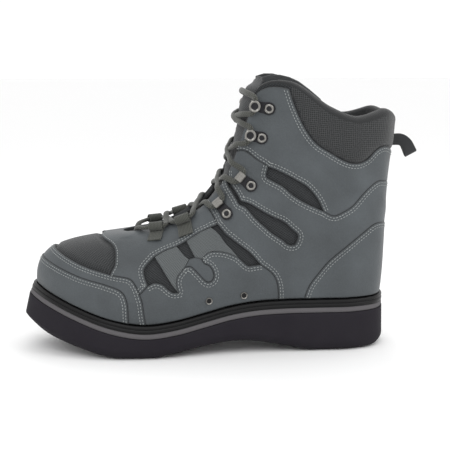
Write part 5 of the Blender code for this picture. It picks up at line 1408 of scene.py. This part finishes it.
def make_webbing_loops():
    """Loops of webbing at the foot of the throat, which the lace runs through."""
    for side, word in ((1, "outer"), (-1, "inner")):
        for keeper in WEBBING_KEEPERS:
            name = f"{keeper.name}_{word}"
            length = keeper_frame(keeper, side)[-1]
            flat = np.linspace(-LOOP_TAIL, length - LOOP_CLEAR, 8)
            roots = [(along, keeper.half) for along in flat]
            places, widths, ways = curl_line(keeper, side, LOOP_BORE, LOOP_WEBBING, roots, LOOP_STEPS)
            widths = [unit(width) * keeper.half for width in widths]
            make_strip(name + "_webbing", places, widths, ways, LOOP_WEBBING, ("loop_tape",), "webbing",
                       (name,), soft=0.9)


def make_pull_loop():
    """Black tape at the collar's back: out on one side, round its end and back on the other."""
    root = upper_point(SPANS, PULL_ROOT)
    rows = between_rows(PULL_ROWS, 5)
    run = []
    for index, row in enumerate(rows):
        tilt = math.radians(row.tilt)
        width = np.array([-math.sin(tilt), 0.0, math.cos(tilt)]) * row.half
        place = root + np.array([-row.back, row.down * PULL_LEAN, -row.down])
        gap = PULL_GAP + PULL_SWELL * math.sin(math.pi * index / (len(rows) - 1) * PULL_WAVE)
        run.append((place, width, gap))
    end, end_width, end_gap = run[-1]
    onward = unit(np.cross(end_width, (0.0, 1.0, 0.0)))
    sideways = np.array([0.0, 1.0, 0.0])
    places = [place + sideways * gap for place, _, gap in run]
    widths = [width for _, width, _ in run]
    ways = [sideways] * len(run)
    for turn in HALF_TURN:
        way = sideways * math.cos(turn) + onward * math.sin(turn)
        places.append(end + way * end_gap)
        widths.append(end_width)
        ways.append(way)
    places += [place - sideways * gap for place, _, gap in run[::-1]]
    widths += [width for _, width, _ in run[::-1]]
    ways += [-sideways] * len(run)
    make_strip("pull_loop_tape", places, widths, ways, PULL_TAPE, ("tape",), "webbing", ("pull_loop",),
               soft=0.8)


def lace_bed():
    """Places that a lace must clear: the leather round the throat and the tongue's front."""
    us, vs = np.meshgrid(np.arange(0.0, 2 * SPANS, 0.07), np.arange(0.62, 1.0, 0.01))
    leather = skin(us.ravel(), vs.ravel(), np.full(us.size, OVERLAY_BACK + SADDLE_LEATHER))
    fronts = np.array([tongue_face(row, 0.0, 0.0006) for row in between_rows(TONGUE_ROWS, 12)])
    between = [fronts[:, :-1] + (fronts[:, 1:] - fronts[:, :-1]) * share for share in (0.0, 0.5)]
    return np.vstack([leather, *(part.reshape(-1, 3) for part in between)])


def lifts(run, forward, bed, room):
    """How far forward each place of a run must move to clear the bed, eased along the run."""
    need = np.zeros(len(run))
    for index, place in enumerate(run):
        away = place - bed
        ahead = away @ forward
        beside = np.sum(away * away, axis=1) - ahead**2
        near = beside < room**2
        if near.any():
            need[index] = max(0.0, (np.sqrt(room**2 - beside[near]) - ahead[near]).max())
    wide = np.array([need[max(0, i - 2):i + 3].max() for i in range(len(need))])
    soft = np.convolve(np.pad(wide, 3, mode="edge"), np.ones(7) / 7, mode="valid")
    ease = smooth_step(np.minimum(np.linspace(0, 1, len(run)), np.linspace(1, 0, len(run))) / 0.12)
    return np.maximum(soft, 0.0) * ease


def lace_line():
    """The lace as one closed line with the way out at each place: up one side, over and down."""
    bed = lace_bed()
    keepers = [(k, LOOP_BORE, LOOP_WEBBING) for k in WEBBING_KEEPERS]
    keepers += [(k, RING_BORE, METAL_SHEET) for k in METAL_KEEPERS]
    passes = []
    for keeper, bore, sheet in keepers:
        row = {}
        for side in (1, -1):
            origin, toward, across, out, length = keeper_frame(keeper, side)
            up = across * (1 if across[2] > 0 else -1)
            middle = origin + toward * length + out * (sheet + bore)
            reach = keeper.half + LACE_LEAD
            row[side] = (middle - up * reach, middle, middle + up * reach, out)
        passes.append(row)
    strands = []
    for start in (1, -1):
        places, outs = [], []
        for number, row in enumerate(passes):
            side = start * (1 if number % 2 == 0 else -1)
            low, middle, high, out = row[side]
            for share in (0.0, 0.5, 1.0, 1.5, 2.0):
                places.append(low + (high - low) * share / 2)
                outs.append(out)
            if number + 1 == len(passes):
                continue
            goal = passes[number + 1][-side][0]
            left, right = (high, passes[number][-side][2]) if side > 0 else (passes[number][-side][2], high)
            climb = passes[number + 1][1][1] + passes[number + 1][-1][1] - row[1][1] - row[-1][1]
            forward = unit(np.cross(climb, right - left))
            shares = np.linspace(0.0, 1.0, 26)[1:-1]
            wave = np.sin(math.pi * shares)
            over = LACE_OVER if (number + (start > 0)) % 2 else 0.0
            bow = wave * (LACE_BOW + over * wave**4)
            run = high + (goal - high) * shares[:, None] + forward * bow[:, None]
            run = run + forward * lifts(run, forward, bed, LACE_ROOM)[:, None]
            places += list(run + forward * (over * wave**4)[:, None])
            outs += [forward] * len(run)
        strands.append((places, outs))
    first, second = strands
    bars = []
    for number, end, swing_size, push in ((-1, 2, TOP_BAR_BOW, TOP_BAR_PUSH), (0, 0, -BAR_BOW, BAR_SINK)):
        row = passes[number]
        side = (1 if len(passes) % 2 else -1) if number else -1
        start_at, goal = row[side][end], row[-side][end]
        climb = unit(row[1][2] + row[-1][2] - row[1][0] - row[-1][0])
        left, right = row[1][end], row[-1][end]
        forward = unit(np.cross(climb, right - left))
        shares = np.linspace(0.0, 1.0, 22)[1:-1]
        wave = np.sin(math.pi * shares)
        swing = climb * swing_size
        run = start_at + (goal - start_at) * shares[:, None]
        run = run + swing * (wave**0.6)[:, None]
        run = run + forward * (wave * push)[:, None]
        run = run + forward * lifts(run, forward, bed, LACE_ROOM)[:, None]
        bars.append((list(run), [forward] * len(run)))
    places = first[0] + bars[0][0] + second[0][::-1] + bars[1][0]
    outs = first[1] + bars[0][1] + second[1][::-1] + bars[1][1]
    return np.array(places), np.array(outs)


def make_lace(sizes):
    """One closed lace through every loop, ring and hook; its ends are not modelled."""
    places, outs = lace_line()
    for _ in range(3):
        places = places * 0.5 + (np.roll(places, 1, axis=0) + np.roll(places, -1, axis=0)) * 0.25
        outs = outs * 0.4 + (np.roll(outs, 1, axis=0) + np.roll(outs, -1, axis=0)) * 0.3
    count = len(places) * 3
    at = np.arange(count) / 3
    line = loop_curve(places, at)
    out = loop_curve(outs, at)
    way = np.roll(line, -1, axis=0) - np.roll(line, 1, axis=0)
    way /= np.linalg.norm(way, axis=1, keepdims=True)
    side = np.cross(out, way)
    side /= np.linalg.norm(side, axis=1, keepdims=True)
    up = np.cross(way, side)
    sides = 14
    turns = np.arange(sides + 1) * 2 * math.pi / sides
    across = np.cos(turns) * sizes.lace_width / 2
    high = np.sin(turns) * sizes.lace_thickness / 2
    rings = line[:, None] + side[:, None] * across[None, :, None] + up[:, None] * high[None, :, None]
    rings = np.concatenate([rings, rings[:1]])
    along = run_lengths(np.vstack([line, line[:1]]))
    cloth = cloth_grid(turns / (2 * math.pi) * LACE_GIRTH, along[:, None])
    faces = grid_faces(count + 1, sides + 1, closed=False)
    nodes = [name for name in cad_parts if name.startswith(("lace_crossing", "lace_bar"))]
    new_piece("lace_strand", rings.reshape(-1, 3), faces, ("lace",), nodes, cloth=cloth, sharp=80.0)


SoftBox = namedtuple("SoftBox", "place aim size power")
SOFT_BOXES = (
    SoftBox((0.35, 1.1, 1.1), (0.1, 0.0, 0.08), 0.7, 4.5),
    SoftBox((-0.9, 0.5, 0.9), (0.05, 0.0, 0.12), 0.6, 3.0),
    SoftBox((0.2, -0.9, 1.0), (0.1, 0.0, 0.1), 0.7, 2.5),
)
SKY_STRENGTH = 1.08
CAMERA_PLACE = (0.1826, 0.9842, 0.2607)
CAMERA_AIM = (0.0965, 0.0, 0.106)
CAMERA_LENS = 90.4       # millimetres, on a sensor 36 millimetres wide


def look_at(obj, aim):
    obj.rotation_euler = (Vector(aim) - obj.location).to_track_quat("-Z", "Y").to_euler()


def make_stage():
    """Pale floor, soft lights, and the camera at the photo's angle."""
    floor = bpy.data.meshes.new("floor")
    corners = [(-9, -9, -0.0002), (9, -9, -0.0002), (9, 9, -0.0002), (-9, 9, -0.0002)]
    floor.from_pydata(corners, [], [(0, 1, 2, 3)])
    ground = bpy.data.objects.new("floor", floor)
    bpy.context.scene.collection.objects.link(ground)
    mat, _, shader = start_material("matt studio paper", 0.9)
    shader.inputs["Base Color"].default_value = linear("f4f4f4")
    floor.materials.append(mat)
    world = bpy.data.worlds.new("studio")
    bpy.context.scene.world = world
    world.use_nodes = True
    background = world.node_tree.nodes["Background"]
    background.inputs["Color"].default_value = linear("ffffff")
    background.inputs["Strength"].default_value = SKY_STRENGTH
    for number, box in enumerate(SOFT_BOXES, 1):
        data = bpy.data.lights.new(f"softbox_{number}", "AREA")
        data.size = box.size
        data.energy = box.power
        lamp = bpy.data.objects.new(f"softbox_{number}", data)
        lamp.location = box.place
        look_at(lamp, box.aim)
        bpy.context.scene.collection.objects.link(lamp)
    camera = bpy.data.cameras.new("camera")
    camera.lens = CAMERA_LENS
    camera.sensor_width = 36.0
    camera.clip_start = 0.05
    viewer = bpy.data.objects.new("camera", camera)
    viewer.location = CAMERA_PLACE
    look_at(viewer, CAMERA_AIM)
    bpy.context.scene.collection.objects.link(viewer)
    bpy.context.scene.camera = viewer
    bpy.context.scene.view_settings.view_transform = "Standard"


class BootSizes(bpy.types.PropertyGroup):
    """Sizes that a user would change."""
    stitch_pitch: bpy.props.FloatProperty(
        name="Stitch pitch", description="From one stitch to the next", default=0.0027, min=0.001, max=0.006,
        precision=5, unit="LENGTH")
    stitch_length: bpy.props.FloatProperty(
        name="Stitch length", description="Length of one stitch on the leather", default=0.0021, min=0.0005,
        max=0.005, precision=5, unit="LENGTH")
    stitch_thickness: bpy.props.FloatProperty(
        name="Thread thickness", description="Thickness of the sewing thread", default=0.00068, min=0.0002,
        max=0.002, precision=5, unit="LENGTH")
    lace_width: bpy.props.FloatProperty(
        name="Lace width", description="Width of the braided lace", default=0.0052, min=0.002, max=0.008,
        precision=5, unit="LENGTH")
    lace_thickness: bpy.props.FloatProperty(
        name="Lace thickness", description="Thickness of the braided lace", default=0.0034, min=0.002,
        max=0.006, precision=5, unit="LENGTH")


class BootColours(bpy.types.PropertyGroup):
    """Colours that a user would change."""
    leather: bpy.props.FloatVectorProperty(
        name="Leather", description="Colour of the nubuck panels", subtype="COLOR", size=4, min=0.0, max=1.0,
        default=linear("3f4447"))
    thread: bpy.props.FloatVectorProperty(
        name="Thread", description="Colour of the sewing thread", subtype="COLOR", size=4, min=0.0, max=1.0,
        default=linear("9fa3a2"))


class BootOperator:
    """What every operator of the boot does first."""

    def execute(self, context):
        if not MATERIALS:
            make_materials(context.scene.boot_colours)
        self.make(context)
        return {"FINISHED"}


class WADINGBOOT_OT_sole(BootOperator, bpy.types.Operator):
    """Makes the rubber block, the grey band and the rand"""
    bl_idname = "wadingboot.sole"
    bl_label = "Sole layers"

    def make(self, context):
        make_sole_layers()


class WADINGBOOT_OT_shell(BootOperator, bpy.types.Operator):
    """Makes the mesh shell with its padded collar and lining"""
    bl_idname = "wadingboot.shell"
    bl_label = "Mesh shell and collar"

    def make(self, context):
        make_shell()


class WADINGBOOT_OT_tongue(BootOperator, bpy.types.Operator):
    """Makes the padded tongue"""
    bl_idname = "wadingboot.tongue"
    bl_label = "Tongue"

    def make(self, context):
        make_tongue()


class WADINGBOOT_OT_leather(BootOperator, bpy.types.Operator):
    """Makes the leather panels"""
    bl_idname = "wadingboot.leather"
    bl_label = "Leather panels"

    def make(self, context):
        make_panels(("toe_cap", "toe_band", "vamp", "quarter", "strap_recess", "saddle", "shaft",
                     "heel_counter"))


class WADINGBOOT_OT_straps(BootOperator, bpy.types.Operator):
    """Makes the webbing straps at the waist"""
    bl_idname = "wadingboot.straps"
    bl_label = "Webbing straps"

    def make(self, context):
        make_panels(("strap_1", "strap_2"))


class WADINGBOOT_OT_stitches(BootOperator, bpy.types.Operator):
    """Sews the double rows of stitches along the panels' edges"""
    bl_idname = "wadingboot.stitches"
    bl_label = "Stitches"

    def make(self, context):
        make_stitches(context.scene.boot_sizes)


class WADINGBOOT_OT_hardware(BootOperator, bpy.types.Operator):
    """Makes the lace rings, hooks, rivets and drain eyelets"""
    bl_idname = "wadingboot.hardware"
    bl_label = "Metal hardware"

    def make(self, context):
        make_hardware()


class WADINGBOOT_OT_webbing_loops(BootOperator, bpy.types.Operator):
    """Makes the webbing lace loops"""
    bl_idname = "wadingboot.webbing_loops"
    bl_label = "Webbing lace loops"

    def make(self, context):
        make_webbing_loops()


class WADINGBOOT_OT_lace(BootOperator, bpy.types.Operator):
    """Runs the lace through the loops, rings and hooks"""
    bl_idname = "wadingboot.lace"
    bl_label = "Lace"

    def make(self, context):
        make_lace(context.scene.boot_sizes)


class WADINGBOOT_OT_pull_loop(BootOperator, bpy.types.Operator):
    """Makes the pull loop at the back of the collar"""
    bl_idname = "wadingboot.pull_loop"
    bl_label = "Pull loop"

    def make(self, context):
        make_pull_loop()


class WADINGBOOT_OT_footbed(BootOperator, bpy.types.Operator):
    """Gives the footbed its cloth"""
    bl_idname = "wadingboot.footbed"
    bl_label = "Footbed"

    def make(self, context):
        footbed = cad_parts["insole"]
        mat = moulded_rubber("footbed felt", linear("2a2c2e"), 0.95, 0.0006, 0.15)
        for slot in footbed.material_slots:
            slot.material = mat


class WADINGBOOT_OT_stage(BootOperator, bpy.types.Operator):
    """Sets the floor, the lights and the camera"""
    bl_idname = "wadingboot.stage"
    bl_label = "Stage"

    def make(self, context):
        make_stage()


STEPS = (WADINGBOOT_OT_stage, WADINGBOOT_OT_sole, WADINGBOOT_OT_footbed, WADINGBOOT_OT_shell,
         WADINGBOOT_OT_tongue, WADINGBOOT_OT_leather, WADINGBOOT_OT_straps, WADINGBOOT_OT_stitches,
         WADINGBOOT_OT_hardware, WADINGBOOT_OT_webbing_loops, WADINGBOOT_OT_lace, WADINGBOOT_OT_pull_loop)


class WADINGBOOT_PT_pieces(bpy.types.Panel):
    """Lists the boot's pieces, sizes and colours"""
    bl_idname = "WADINGBOOT_PT_pieces"
    bl_label = "Wading boot"
    bl_space_type = "VIEW_3D"
    bl_region_type = "UI"
    bl_category = "Wading boot"

    def draw(self, context):
        for group in (context.scene.boot_sizes, context.scene.boot_colours):
            for name in group.bl_rna.properties.keys():
                if name not in ("rna_type", "name"):
                    self.layout.prop(group, name)
        for step in STEPS:
            self.layout.operator(step.bl_idname)


CLASSES = (BootSizes, BootColours, *STEPS, WADINGBOOT_PT_pieces)


def register():
    for item in CLASSES:
        bpy.utils.register_class(item)
    bpy.types.Scene.boot_sizes = bpy.props.PointerProperty(type=BootSizes)
    bpy.types.Scene.boot_colours = bpy.props.PointerProperty(type=BootColours)


def unregister():
    del bpy.types.Scene.boot_colours
    del bpy.types.Scene.boot_sizes
    for item in reversed(CLASSES):
        bpy.utils.unregister_class(item)


def main():
    register()
    for step in STEPS:
        name = step.bl_idname.split(".")[1]
        getattr(bpy.ops.wadingboot, name)()


if __name__ == "__main__":
    main()
